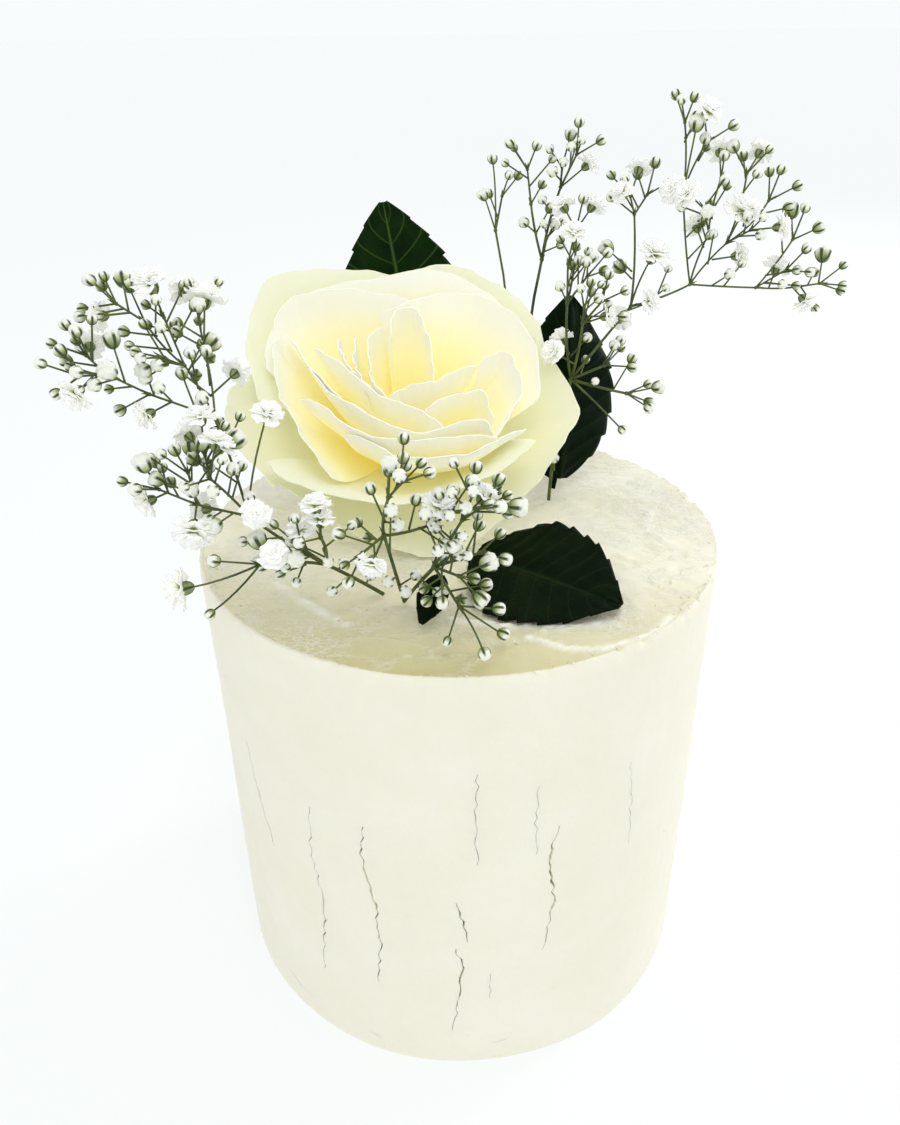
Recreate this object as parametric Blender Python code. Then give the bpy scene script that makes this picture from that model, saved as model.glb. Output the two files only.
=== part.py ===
"""A small celebration cake of one tier, iced in cream, with fresh flowers on top.

The iced cake is one solid. A white rose lies tilted on its top, with five
leaves under and behind it and sprigs of baby's breath on both sides.
Every size below is in millimetres. The cake stands on z = 0, its axis is the
Z axis, and its shown front faces -Y.
"""
import math
import random

import bmesh
import bpy
from mathutils import Matrix, Vector, noise

MM = 0.001
GAP = 0.3

# Cake
CAKE_RADIUS = 80.0
CAKE_HEIGHT = 153.0
CAKE_SEGMENTS = 80
SIDE_LEVELS = (0.0, 30.0, 70.0, 110.0, 142.0)
TOP_RINGS = (0.97, 0.72, 0.36)
SIDE_WAVE = 0.7
TOP_WAVE = 0.9
RIM_WAVE = 0.7

# Cracks in the icing: degrees round the cake, height, width
CRACKS = {
    "left_edge": [(-143, 107, 0.6), (-141, 90, 1.8), (-138, 76, 2.2), (-137, 70, 0.8)],
    "left": [(-123, 99, 0.6), (-124, 80, 0.9), (-121.5, 61, 1.3), (-122.5, 45, 1.0), (-123.5, 29, 0.5)],
    "left_middle": [(-110, 99, 0.6), (-111, 88, 1.1), (-108.5, 69, 1.6), (-108, 50, 0.9), (-109, 34, 0.5)],
    "middle_upper": [(-91.5, 74, 0.5), (-90, 66, 1.1), (-89, 57, 0.5)],
    "middle_lower": [(-91.5, 54, 0.6), (-90, 45, 1.2), (-91, 30, 0.9), (-92.5, 15, 0.4)],
    "right_middle": [(-70.5, 99, 0.6), (-72, 88, 1.3), (-70.5, 69, 1.5), (-72.5, 49, 0.5)],
    "right": [(-53.5, 112, 0.4), (-52.5, 96, 0.7), (-52, 79, 0.4)],
    "base_left": [(-137, 12, 0.8), (-133, 9, 2.2), (-129, 8, 0.8)],
    "base_right": [(-83.5, 8, 0.8), (-81.5, 8.5, 1.8), (-79.5, 9.5, 0.6)],
}
CRACK_DEPTH = 2.2

# Rose, in its own frame: its axis is Z and its petals meet at z = 0
ROSE_RIM_CENTRE = (-19.0, 1.7, 202.4)
ROSE_TILT = 33.0
ROSE_HEIGHT = 38.0
PETAL_FOOT = 6.0
PETAL_THICK = 1.0
CORNER = 0.10
# Each petal: how much its rim rolls back, and the points of its rim,
# each as right, back and up in the flower's own frame
PETALS = {
    "heart_back": (0.0, ((-2, 16, 37), (1, 23, 38), (7, 24, 38), (11, 15, 38), (12, 0, 36))),
    "heart_left": (0.0, ((-3, 21, 37.5), (-7, 14, 37), (-7, 4, 36), (-4, -3, 36), (0, -5, 34))),
    "fold_left": (0.3, ((-12, 18, 37), (-11, 7, 37), (-8, -2, 37), (-3, -6, 35))),
    "fold_outer": (0.3, ((-17, 17, 37.5), (-15, 9, 37.5), (-11, 1, 37), (-7, -4, 36))),
    "lip_front": (0.4, ((-1, -6, 35), (4, -3, 36), (14, -1, 36), (25, 7, 36))),
    "sweep_one": (0.6, ((-24, 13, 38), (-17, 5, 38), (-3, -7, 38), (8, -12, 37), (16, -18, 35))),
    "lip_right": (0.5, ((8, -11, 34), (14, -8, 35), (26, -4, 35), (30, -11, 33))),
    "sweep_two": (0.5, ((-28, 10, 37.5), (-16, -6, 37.5), (-8, -13, 37), (0, -16, 35))),
    "sweep_three": (0.9, ((-33, 18, 38), (-22, 0, 38), (-11, -11, 38), (7, -20, 37), (25, -16, 37), (30, -18, 36))),
    "round_right": (1.2, ((26, 6, 37), (34, 7, 38.5), (38, -5, 38.5), (31, -18, 36))),
    "sweep_four": (0.8, ((-27, -6, 38), (-18, -13, 38), (-3, -22, 38), (14, -23, 37.5), (31, -19, 36.5))),
    "sweep_five": (0.9, ((-14, -18, 36), (3, -27, 36.5), (23, -27, 36.5), (39, -16, 36))),
    "side_left": (1.0, ((-36, 18, 37), (-33, -3, 37), (-28, -15, 36), (-17, -30, 33))),
    "front_roll": (5, ((-37, -24, 31), (-25, -34, 32), (-3, -40, 32), (15, -39, 32), (33, -28, 32), (42, -18, 33))),
    "back_left": (2.0, ((-38, 6, 37), (-33, 26, 39), (-18, 32, 39), (6, 29, 39))),
    "back_right": (2.0, ((-4, 26, 38.5), (12, 29, 39), (28, 27, 39), (42, 13, 39), (43, -6, 36))),
    "back_middle": (3.5, ((-29, 33, 38), (-5, 37, 39), (18, 37, 39), (38, 23, 38))),
    "guard_back_left": (5.0, ((-40, -2, 32), (-45, 16, 34), (-41, 38, 35), (-18, 43, 36), (5, 42, 36))),
    "guard_back_right": (5.0, ((-6, 42, 36), (21, 43, 36), (37, 33, 34), (47, 18, 31))),
    "guard_right": (3.0, ((43, 24, 32), (55, -1, 25), (49, -16, 20), (36, -32, 14), (15, -48, 8))),
    "guard_left": (3.0, ((-42, 11, 30), (-49, 1, 29), (-48, -15, 26), (-35, -27, 22))),
    "guard_front": (2.0, ((-34, -27, 24), (-19, -36, 16), (0, -43, 11), (14, -48, 8))),
}
# Petals that reach further than this leave the hip itself, the others the core
WIDE_PETAL = 36.0
WIDE_START = 0.05
INNER_START = 0.45
ROSE_SHARE = 0.72
CORE_PROFILE = ((12.0, -3.0), (23.0, 8.0), (36.0, 23.0))
CORE_TOP = 25.0
CORE_SEGMENTS = 20
HIP_RADIUS = 5.0
SEPALS = 5

# Leaves: base, tip, direction across the leaf, width, sag, cupping, rows of the blade
LEAVES = {
    "leaf_back": ((-14, 55, 184), (-23, 57, 241), (1.0, 0.1, 0.1), 40, 3, 4, 9),
    "leaf_right": ((34, 24, 158), (37, 42, 214), (1.0, 0.35, -0.1), 38, 3, 5, 8),
    "leaf_front": ((5, -26, 157), (43, -52, 155.6), (0.56, 0.83, 0.25), 41, -1, 1.2, 9),
    "leaf_left": ((-38, 28, 170), (-77, 14, 181), (0, 0.5, 0.87), 12, 1, 1, 6),
    "leaf_small": ((-4.5, -49, 164), (-10, -57.5, 154.2), (0.9, -0.2, -0.37), 8, -0.5, 0.5, 4),
}
LEAF_THICK = 0.7
NARROW_LEAF = 20.0
PETIOLE_RADIUS = 0.9

# Sprigs. Each stem: fork it leaves, fork it makes, where it ends, flowers there
# Flowers: b bud, c half-open bud, f blossom, F large blossom
SPRIGS = {
    "sprig_left": ((-21, -41, 153.3), 0.85, (
        ("root", "knee", (-35, -48, 167), ""),
        ("knee", "crown", (-54, -47, 181), ""),
        ("crown", "waist", (-62, -36, 204), "b"),
        ("waist", "shoulder", (-70, -28, 215), "b"),
        ("shoulder", "", (-77, -20, 230), "bF"),
        ("shoulder", "bend", (-79, -26, 226), ""),
        ("bend", "", (-90, -24, 233), "bbbb"),
        ("bend", "", (-84, -18, 233), "c"),
        ("shoulder", "", (-77, -35, 221), "bb"),
        ("waist", "arm", (-77, -38, 211), "b"),
        ("arm", "elbow", (-86, -40, 217), "b"),
        ("elbow", "", (-94, -37, 224), "bbb"),
        ("elbow", "", (-95, -45, 218), "bb"),
        ("waist", "inner", (-66, -22, 218), "b"),
        ("inner", "", (-69, -13, 230), "fb"),
        ("inner", "", (-65, -17, 231), "F"),
        ("crown", "wing", (-66, -50, 186), ""),
        ("wing", "", (-79, -51, 193), "cbb"),
        ("wing", "", (-68, -48, 199), "bcb"),
        ("crown", "tangle", (-61, -52, 194), "bf"),
        ("tangle", "", (-64, -44, 201), "ffb"),
        ("crown", "", (-44, -56, 213), "f"),
        ("crown", "", (-49, -59, 188), "f"),
        ("wing", "", (-66, -57, 181), "F"),
        ("knee", "spur", (-50, -58, 173), ""),
        ("spur", "", (-71, -62, 168), "F"),
        ("spur", "", (-60, -63, 177), "b"),
        ("spur", "", (-62, -67, 164), "b"),
        ("knee", "", (-41, -59, 180), "cb"),
        ("knee", "", (-34, -60, 184), "fb"),
    )),
    "sprig_front": ((-15, -45, 153.3), 0.75, (
        ("root", "star", (-18, -62, 183), ""),
        ("star", "tall", (-16, -68, 196), ""),
        ("tall", "", (-15, -72, 206), "c"),
        ("tall", "", (-10, -73, 205), "bb"),
        ("star", "", (-27, -64, 176), "bb"),
        ("star", "", (-21, -69, 178), "f"),
        ("star", "side", (-6, -68, 189), "b"),
        ("side", "", (2, -70, 195), "bb"),
        ("side", "", (-4, -69, 195), "f"),
        ("root", "cross", (-6, -62, 174), ""),
        ("cross", "rise", (1, -68, 190), "f"),
        ("rise", "", (5, -69, 201), "bb"),
        ("rise", "", (10, -67, 196), "cb"),
        ("cross", "", (10, -63, 180), "bb"),
        ("cross", "", (4, -68, 173), "cc"),
        ("cross", "low", (0, -66, 165), ""),
        ("low", "", (10, -66, 164), "b"),
        ("low", "", (11, -69, 158.5), "b"),
        ("low", "", (6, -78, 159), "b"),
        ("low", "", (-3, -72, 158.5), "b"),
    )),
    "sprig_right": ((30, 17, 153.3), 0.85, (
        ("root", "fan", (36, 22, 193), ""),
        ("fan", "post", (34, 25, 216), "b"),
        ("post", "", (34, 29, 232), "fb"),
        ("post", "", (43, 29, 227), "bbb"),
        ("post", "", (37, 33, 241), "ffb"),
        ("fan", "prong", (38, 17, 212), "b"),
        ("prong", "", (38, 15, 221), "bb"),
        ("prong", "", (46, 14, 223), "bb"),
        ("prong", "", (46, 15, 215), "f"),
        ("fan", "", (51, 9, 181), "b"),
        ("fan", "", (57, 13, 190), "bbbc"),
        ("fan", "", (51, 23, 199), "bbb"),
        ("fan", "bough", (54, 28, 214), "b"),
        ("bough", "plume", (54, 34, 240), "b"),
        ("plume", "", (60, 36, 249), "bb"),
        ("plume", "", (52, 38, 248), "fb"),
        ("bough", "", (59, 22, 232), "F"),
        ("bough", "knuckle", (72, 30, 220), ""),
        ("knuckle", "mast", (68, 34, 246), ""),
        ("mast", "", (66, 34, 270), "bbb"),
        ("mast", "", (69, 30, 265), "c"),
        ("mast", "", (76, 37, 264), "bb"),
        ("mast", "", (63, 28, 248), "f"),
        ("knuckle", "crook", (76, 30, 235), "b"),
        ("crook", "", (71, 25, 247), "fb"),
        ("crook", "", (80, 37, 254), "fb"),
        ("knuckle", "crest", (82, 31, 232), ""),
        ("crest", "", (85, 27, 243), "F"),
        ("crest", "", (87, 34, 256), "fcb"),
        ("crest", "", (91, 25, 239), "bf"),
        ("crest", "", (97, 34, 247), "bbb"),
        ("knuckle", "reach", (92, 29, 219), ""),
        ("reach", "", (104, 30, 237), "bcc"),
        ("reach", "", (103, 24, 228), "bbb"),
        ("reach", "end", (106, 30, 219), "b"),
        ("end", "", (116, 31, 220), "bbb"),
    )),
    "sprig_middle": ((25, 48, 153.3), 0.8, (
        ("root", "split", (28, 49, 224), ""),
        ("split", "rod", (24, 49, 241), "b"),
        ("rod", "", (22, 50, 256), "bbb"),
        ("split", "", (30, 46, 236), "bb"),
        ("split", "sway", (33, 48, 246), ""),
        ("sway", "", (33, 46, 256), "cb"),
        ("sway", "", (39, 44, 260), "bbb"),
        ("sway", "", (42, 49, 253), "f"),
    )),
    "sprig_thin": ((16, 50, 153.3), 0.65, (
        ("root", "nape", (13, 50, 233), ""),
        ("nape", "", (9, 48, 244), "c"),
        ("nape", "", (12, 52, 254), "b"),
        ("nape", "", (16, 52, 248), "bb"),
    )),
}
TWIG_RADIUS = 0.4
KNOT_SWELL = 0.7
BOWED_FROM = 14.0
SPRIG_SHARE = 1.0
TWIG_LENGTH = 6.0
CLUSTER_REACH = 5.0
FLOWER_RADII = {"b": 1.9, "c": 2.7, "f": 3.9, "F": 5.2}
FLOWER_SIDES = {"b": 4, "c": 5, "f": 6, "F": 8}
BUDS_BUILT = 1
SEED = 11


def clear_scene():
    for thing in list(bpy.data.objects):
        bpy.data.objects.remove(thing, do_unlink=True)


def finish(name, colour, rough):
    material = bpy.data.materials.new(name)
    material.use_nodes = True
    shader = material.node_tree.nodes["Principled BSDF"]
    shader.inputs["Base Color"].default_value = (*colour, 1.0)
    shader.inputs["Roughness"].default_value = rough
    shader.inputs["Metallic"].default_value = 0.0
    material.diffuse_color = (*colour, 1.0)
    return material


def add_mesh(name, points, faces, material, collection=None):
    """Make an object from points in millimetres."""
    mesh = bpy.data.meshes.new(name)
    mesh.from_pydata([Vector(p) * MM for p in points], [], faces)
    mesh.materials.append(material)
    work = bmesh.new()
    work.from_mesh(mesh)
    bmesh.ops.recalc_face_normals(work, faces=work.faces)
    work.to_mesh(mesh)
    work.free()
    thing = bpy.data.objects.new(name, mesh)
    (collection or bpy.context.scene.collection).objects.link(thing)
    return thing


def outer_shell(mesh):
    """Keep the largest closed shell: sealed hollows are filled and scraps dropped."""
    work = bmesh.new()
    work.from_mesh(mesh)
    unseen = set(work.verts)
    shells = []
    while unseen:
        front = [unseen.pop()]
        shell = set(front)
        while front:
            for edge in front.pop().link_edges:
                for vert in edge.verts:
                    if vert in unseen:
                        unseen.discard(vert)
                        shell.add(vert)
                        front.append(vert)
        shells.append(shell)
    span = [max(v.co.length for v in s) - min(v.co.length for v in s) for s in shells]
    kept = shells[span.index(max(span))]
    bmesh.ops.delete(work, geom=[v for v in work.verts if v not in kept], context="VERTS")
    work.to_mesh(mesh)
    work.free()


def fuse(name, pieces, solver, operation="UNION", keep=None, share=1.0):
    """Join closed pieces into one solid, or cut them from the kept one.

    A share below 1 then merges the slivers that the union leaves.
    """
    first = keep or pieces[0]
    group = bpy.data.collections.new(name + "_pieces")
    bpy.context.scene.collection.children.link(group)
    others = [piece for piece in pieces if piece is not first]
    for piece in others:
        for owner in list(piece.users_collection):
            owner.objects.unlink(piece)
        group.objects.link(piece)
    joint = first.modifiers.new("fuse", "BOOLEAN")
    joint.operation = operation
    joint.operand_type = "COLLECTION"
    joint.collection = group
    joint.solver = solver
    if share < 1.0:
        thin = first.modifiers.new("slivers", "DECIMATE")
        thin.decimate_type = "COLLAPSE"
        thin.ratio = share
    graph = bpy.context.evaluated_depsgraph_get()
    mesh = bpy.data.meshes.new_from_object(first.evaluated_get(graph))
    first.modifiers.clear()
    first.data = mesh
    for piece in others:
        bpy.data.objects.remove(piece, do_unlink=True)
    bpy.data.collections.remove(group)
    outer_shell(mesh)
    first.name = name
    mesh.name = name
    return first


def tube(path, radii, sides):
    """A closed tube of few sides along a path; a last radius of 0 ends it in a point."""
    spots = [Vector(p) for p in path]
    pointed = radii[-1] == 0.0
    points = []
    guide = Vector((0.31, 0.47, 0.83))
    rings = len(spots) - 1 if pointed else len(spots)
    for i in range(rings):
        ahead = spots[min(i + 1, len(spots) - 1)] - spots[max(i - 1, 0)]
        across = ahead.cross(guide).normalized()
        up = across.cross(ahead).normalized()
        for k in range(sides):
            turn = 2 * math.pi * k / sides
            points.append(spots[i] + radii[i] * (math.cos(turn) * across + math.sin(turn) * up))
    faces = []
    for i in range(rings - 1):
        for k in range(sides):
            a = i * sides + k
            b = i * sides + (k + 1) % sides
            faces.append((a, b, b + sides, a + sides))
    faces.append(tuple(reversed(range(sides))))
    last = len(points) - sides
    if pointed:
        points.append(spots[-1])
        for k in range(sides):
            faces.append((last + k, last + (k + 1) % sides, len(points) - 1))
    else:
        faces.append(tuple(range(last, len(points))))
    return points, faces


def lathe(profile, top, segments):
    """A solid of revolution: profile points from the bottom rim up, closed by a flat foot and a top."""
    points = []
    for radius, height in profile:
        for k in range(segments):
            turn = 2 * math.pi * k / segments
            points.append(Vector((radius * math.cos(turn), radius * math.sin(turn), height)))
    faces = [tuple(reversed(range(segments)))]
    for i in range(len(profile) - 1):
        for k in range(segments):
            a = i * segments + k
            b = i * segments + (k + 1) % segments
            faces.append((a, b, b + segments, a + segments))
    points.append(Vector((0, 0, top)))
    last = (len(profile) - 1) * segments
    for k in range(segments):
        faces.append((last + k, last + (k + 1) % segments, len(points) - 1))
    return points, faces


def side_radius(turn, height):
    spot = Vector((math.cos(turn) * 1.6, math.sin(turn) * 1.6, height / 60.0))
    return CAKE_RADIUS - 0.3 + SIDE_WAVE * noise.noise(spot)


def top_height(x, y):
    coarse = noise.noise(Vector((x / 26.0, y / 26.0, 4.0)))
    fine = noise.noise(Vector((x / 9.0, y / 9.0, 9.0)))
    return CAKE_HEIGHT - TOP_WAVE * (0.5 + 0.5 * coarse) * (0.7 + 0.3 * fine)


def crack_cutter(name, path, group_material):
    """A thin wedge that follows a crack down the side and ends in points."""
    points = []
    for degrees, height, width in path:
        turn = math.radians(degrees)
        half = 0.5 * width / CAKE_RADIUS
        outside = CAKE_RADIUS + 1.5
        for offset, radius in ((-half, outside), (half, outside), (0.0, CAKE_RADIUS - CRACK_DEPTH)):
            angle = turn + offset
            points.append((radius * math.cos(angle), radius * math.sin(angle), height))
    faces = [(0, 1, 2)]
    for i in range(len(path) - 1):
        for k in range(3):
            a = i * 3 + k
            b = i * 3 + (k + 1) % 3
            faces.append((a, b, b + 3, a + 3))
    faces.append((len(points) - 3, len(points) - 1, len(points) - 2))
    return add_mesh(name, points, faces, group_material)


def build_cake():
    icing = finish("icing", (0.92, 0.88, 0.76), 0.6)
    points = []
    turns = [2 * math.pi * k / CAKE_SEGMENTS for k in range(CAKE_SEGMENTS)]
    for height in SIDE_LEVELS:
        for turn in turns:
            radius = side_radius(turn, height)
            points.append((radius * math.cos(turn), radius * math.sin(turn), height))
    for turn in turns:
        radius = side_radius(turn, CAKE_HEIGHT) - 0.3
        dip = RIM_WAVE * (0.5 + noise.noise(Vector((9 * math.cos(turn), 9 * math.sin(turn), 2.0))))
        points.append((radius * math.cos(turn), radius * math.sin(turn), CAKE_HEIGHT - max(dip, 0.0)))
    for share in TOP_RINGS:
        for turn in turns:
            x = share * CAKE_RADIUS * math.cos(turn)
            y = share * CAKE_RADIUS * math.sin(turn)
            points.append((x, y, top_height(x, y)))
    points.append((0.0, 0.0, top_height(0.0, 0.0)))
    faces = [tuple(reversed(range(CAKE_SEGMENTS)))]
    rings = len(SIDE_LEVELS) + 1 + len(TOP_RINGS)
    for i in range(rings - 1):
        for k in range(CAKE_SEGMENTS):
            a = i * CAKE_SEGMENTS + k
            b = i * CAKE_SEGMENTS + (k + 1) % CAKE_SEGMENTS
            faces.append((a, b, b + CAKE_SEGMENTS, a + CAKE_SEGMENTS))
    last = (rings - 1) * CAKE_SEGMENTS
    for k in range(CAKE_SEGMENTS):
        faces.append((last + k, last + (k + 1) % CAKE_SEGMENTS, len(points) - 1))
    cake = add_mesh("cake", points, faces, icing)
    cutters = [crack_cutter("crack_" + name, path, icing) for name, path in CRACKS.items()]
    return fuse("cake", cutters, "EXACT", "DIFFERENCE", keep=cake)


def rose_matrix():
    tilt = Matrix.Rotation(math.radians(ROSE_TILT), 4, "X")
    base = Vector(ROSE_RIM_CENTRE) - ROSE_HEIGHT * (tilt @ Vector((0, 0, 1)))
    return Matrix.Translation(base) @ tilt


def rest_on_icing(spot, above):
    """Lift a point that would dip into the icing."""
    floor = CAKE_HEIGHT + GAP + above
    return Vector((spot.x, spot.y, max(spot.z, floor)))


def rim_point(rim, share):
    """A point of the smooth line through the rim's points, and its direction."""
    last = len(rim) - 1
    k = min(int(share * last), last - 1)
    t = share * last - k
    b = Vector(rim[k])
    c = Vector(rim[k + 1])
    a = Vector(rim[k - 1]) if k > 0 else b * 2 - c
    d = Vector(rim[k + 2]) if k + 2 <= last else c * 2 - b
    bend = a * 2 - b * 5 + c * 4 - d
    twist = b * 3 - a - c * 3 + d
    spot = 0.5 * (b * 2 + (c - a) * t + bend * t ** 2 + twist * t ** 3)
    slope = 0.5 * ((c - a) + bend * (2 * t) + twist * (3 * t ** 2))
    return spot, slope


def outward(slope):
    return Vector((slope.y, -slope.x, 0.0)).normalized()


def outer_side(rim):
    """Which side of the rim, 1 or -1, looks away from the flower's axis."""
    spot, slope = rim_point(rim, 0.5)
    return 1 if outward(slope).dot(spot) > 0 else -1


def petal_point(rim, side, rolled, u, v):
    """A point of a petal: u runs along its rim from -1 to 1, v from its foot to its rim."""
    edge, slope = rim_point(rim, 0.5 + 0.5 * u)
    flat = Vector((edge.x, edge.y, 0.0))
    out = outward(slope) * side
    crest = flat - out * rolled
    foot = flat.normalized() * min(PETAL_FOOT, 0.7 * flat.length)
    rise = v * (1.0 - CORNER * abs(u) ** 5)
    curl = max(v - 0.6, 0.0) / 0.4
    spot = foot.lerp(crest, 1.0 - (1.0 - rise) ** 2) + out * (rolled * curl ** 2)
    spot.z = (edge.z + 0.5 * rolled) * rise - 0.5 * rolled * curl ** 2
    return spot, out


def petal(place, rolled, rim):
    """A cupped petal from its foot to its free rim, as inner and outer skins with a wall between."""
    reach = max(Vector(point[:2]).length for point in rim)
    wide = reach > WIDE_PETAL
    start = WIDE_START if wide else INNER_START
    along = 4 if wide else 2
    across = 2 * len(rim) - 2
    side = outer_side(rim)
    inner = []
    outer = []
    for j in range(along + 1):
        v = start + (1.0 - start) * j / along
        for i in range(across + 1):
            spot, out = petal_point(rim, side, rolled, 2.0 * i / across - 1.0, v)
            slope = (out - Vector((0.0, 0.0, 0.35))).normalized()
            inner.append(rest_on_icing(place @ spot, PETAL_THICK))
            outer.append(rest_on_icing(place @ (spot + slope * PETAL_THICK), 0.0))
    points, faces = skin(inner, outer, across, along)
    return points, faces


def skin(inner, outer, across, along):
    """Two grids of points, one over the other, joined along their edges."""
    row = across + 1
    count = len(inner)
    faces = []
    for j in range(along):
        for i in range(across):
            a = j * row + i
            b = a + 1
            c = b + row
            d = a + row
            faces += [(a, b, c), (a, c, d)]
            faces += [(a + count, c + count, b + count), (a + count, d + count, c + count)]
    edge = [i for i in range(row)]
    edge += [j * row + across for j in range(1, along + 1)]
    edge += [along * row + i for i in range(across - 1, -1, -1)]
    edge += [j * row for j in range(along - 1, 0, -1)]
    for k, a in enumerate(edge):
        b = edge[(k + 1) % len(edge)]
        faces.append((a, a + count, b + count, b))
    return inner + outer, faces


def build_rose():
    white = finish("petal", (0.93, 0.88, 0.66), 0.5)
    place = rose_matrix()
    points, faces = lathe(CORE_PROFILE, CORE_TOP, CORE_SEGMENTS)
    pieces = [add_mesh("rose_core", [place @ p for p in points], faces, white)]
    for name, (rolled, rim) in PETALS.items():
        points, faces = petal(place, rolled, rim)
        pieces.append(add_mesh("petal_" + name, points, faces, white))
    return fuse("rose", pieces, "MANIFOLD", share=ROSE_SHARE)


def build_rose_stem():
    """The green hip, its sepals and a short stalk that meets the icing."""
    green = finish("rose_stem", (0.10, 0.16, 0.05), 0.55)
    place = rose_matrix()
    foot = -3.0 - GAP
    profile = ((2.4, foot - 9.0), (HIP_RADIUS, foot - 5.0), (HIP_RADIUS, foot - 2.0), (7.5, foot))
    points, faces = lathe(profile, foot, 10)
    pieces = [add_mesh("hip", [place @ p for p in points], faces, green)]
    for k in range(SEPALS):
        turn = 2 * math.pi * k / SEPALS + 0.4
        way = Vector((math.cos(turn), math.sin(turn), 0.0))
        path = [place @ (way * 4.0 + Vector((0, 0, foot - 3.0))),
                place @ (way * 9.0 + Vector((0, 0, foot - 1.4))),
                place @ (way * 13.0 + Vector((0, 0, foot - 1.2)))]
        points, faces = tube(path, (1.2, 1.0, 0.0), 4)
        pieces.append(add_mesh(f"sepal_{k}", points, faces, green))
    low = place @ Vector((0, 0, foot - 7.0))
    path = [low, Vector((low.x, low.y + 0.5, CAKE_HEIGHT + GAP))]
    points, faces = tube(path, (2.2, 2.2), 7)
    pieces.append(add_mesh("stalk", points, faces, green))
    return fuse("rose_stem", pieces, "EXACT")


def build_leaf(name, base, tip, sideways, width, sag, cup, rows):
    """A thin wavy blade with a toothed edge, on a short stalk that meets the icing."""
    green = finish(name, (0.012, 0.035, 0.012), 0.35)
    base = Vector(base)
    length = Vector(tip) - base
    normal = length.cross(Vector(sideways)).normalized()
    side = normal.cross(length).normalized()
    strips = 2 if width < NARROW_LEAF else 4
    faces_up = []
    faces_down = []
    for j in range(rows + 1):
        s = j / rows
        outline = max(math.sin(math.pi * (0.02 + 0.97 * s) ** 0.85), 0.0) ** 0.8
        tooth = 1.0 - 0.07 * (j % 2)
        for i in range(strips + 1):
            t = 2.0 * i / strips - 1.0
            half = 0.5 * width * outline * (tooth if abs(t) > 0.9 else 1.0)
            lift = cup * abs(t) ** 1.5 * outline - 4 * sag * s * (1 - s)
            lift += 0.6 * math.sin(rows * s * 1.9 + 2.0 * t) * abs(t)
            spot = base + length * s + side * (half * t) + normal * lift
            faces_up.append(rest_on_icing(spot + normal * (0.5 * LEAF_THICK), LEAF_THICK))
            faces_down.append(rest_on_icing(spot - normal * (0.5 * LEAF_THICK), 0.0))
    points, faces = skin(faces_down, faces_up, strips, rows)
    blade = add_mesh(name + "_blade", points, faces, green)
    stalk_top = base + length * 0.06
    foot = Vector((base.x - 2.0, base.y + 1.0, CAKE_HEIGHT + GAP + 0.5 * PETIOLE_RADIUS))
    middle = (stalk_top + foot) * 0.5 + Vector((0, 1.0, 0))
    points, faces = tube([stalk_top, middle, foot], (PETIOLE_RADIUS,) * 3, 4)
    stalk = add_mesh(name + "_stalk", points, faces, green)
    return fuse(name, [blade, stalk], "EXACT")


def knot(centre, radius):
    """The swollen joint where stems part."""
    work = bmesh.new()
    bmesh.ops.create_uvsphere(work, u_segments=4, v_segments=2, radius=radius)
    points = [vert.co + centre for vert in work.verts]
    faces = [tuple(vert.index for vert in face.verts) for face in work.faces]
    work.free()
    return points, faces


def flower_profile(kind, centre, facing):
    """Where a twig widens into its flower: path, radii, sides and ruffle."""
    size = FLOWER_RADII[kind]
    if kind in "bc":
        shares = ((-1.0, 0.35), (0.05, 1.0), (1.0, 0.0))
    else:
        shares = ((-0.75, 0.2), (-0.1, 0.9), (0.25, 1.0), (0.6, 0.0))
    path = [centre + facing * (size * rise) for rise, _ in shares]
    radii = [max(size * spread, TWIG_RADIUS) if spread else 0.0 for _, spread in shares]
    return path, radii, FLOWER_SIDES[kind]


def sprig_plan(root, thick, stems, seed):
    """Bare stems as (path, radii) and flowering twigs as (kind, path, radii, facing)."""
    draw = random.Random(seed)
    forks = {"root": (Vector(root), thick)}
    branches = []
    twigs = []
    for leaves_from, makes, spot, kinds in stems:
        start, radius = forks[leaves_from]
        end = Vector(spot)
        if makes == "" and len(kinds) > 1:
            end = end.lerp(start, min(CLUSTER_REACH / (end - start).length, 0.4))
        span = end - start
        thin = max(radius * 0.8, TWIG_RADIUS)
        bow = Vector((draw.uniform(-1, 1), draw.uniform(-1, 1), draw.uniform(-1, 0.4)))
        middle = (start + end) * 0.5 + bow * (0.05 * span.length)
        way_points = (start, middle, end) if span.length > BOWED_FROM else (start, end)
        forks[makes] = (end, thin)
        ahead = (end - middle).normalized()
        if makes == "" and len(kinds) == 1:
            twigs.append((kinds, way_points, (thin,) * (len(way_points) - 1), ahead))
            continue
        branches.append((way_points, (radius * 0.95, thin, thin)[:len(way_points)]))
        side = ahead.cross(Vector((0.2, 0.9, 0.4))).normalized()
        turn = draw.uniform(0, 360)
        for n, kind in enumerate(kinds):
            swing = Matrix.Rotation(math.radians(turn + 137.5 * n), 3, ahead)
            lean = draw.uniform(0.45, 0.95) if makes == "" else 1.3
            way = (ahead + swing @ side * lean).normalized()
            reach = TWIG_LENGTH * draw.uniform(0.75, 1.35) + FLOWER_RADII[kind]
            if n < BUDS_BUILT or kind != "b":
                twigs.append((kind, (end, end + way * reach), (TWIG_RADIUS,), way))
    return branches, twigs


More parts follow.
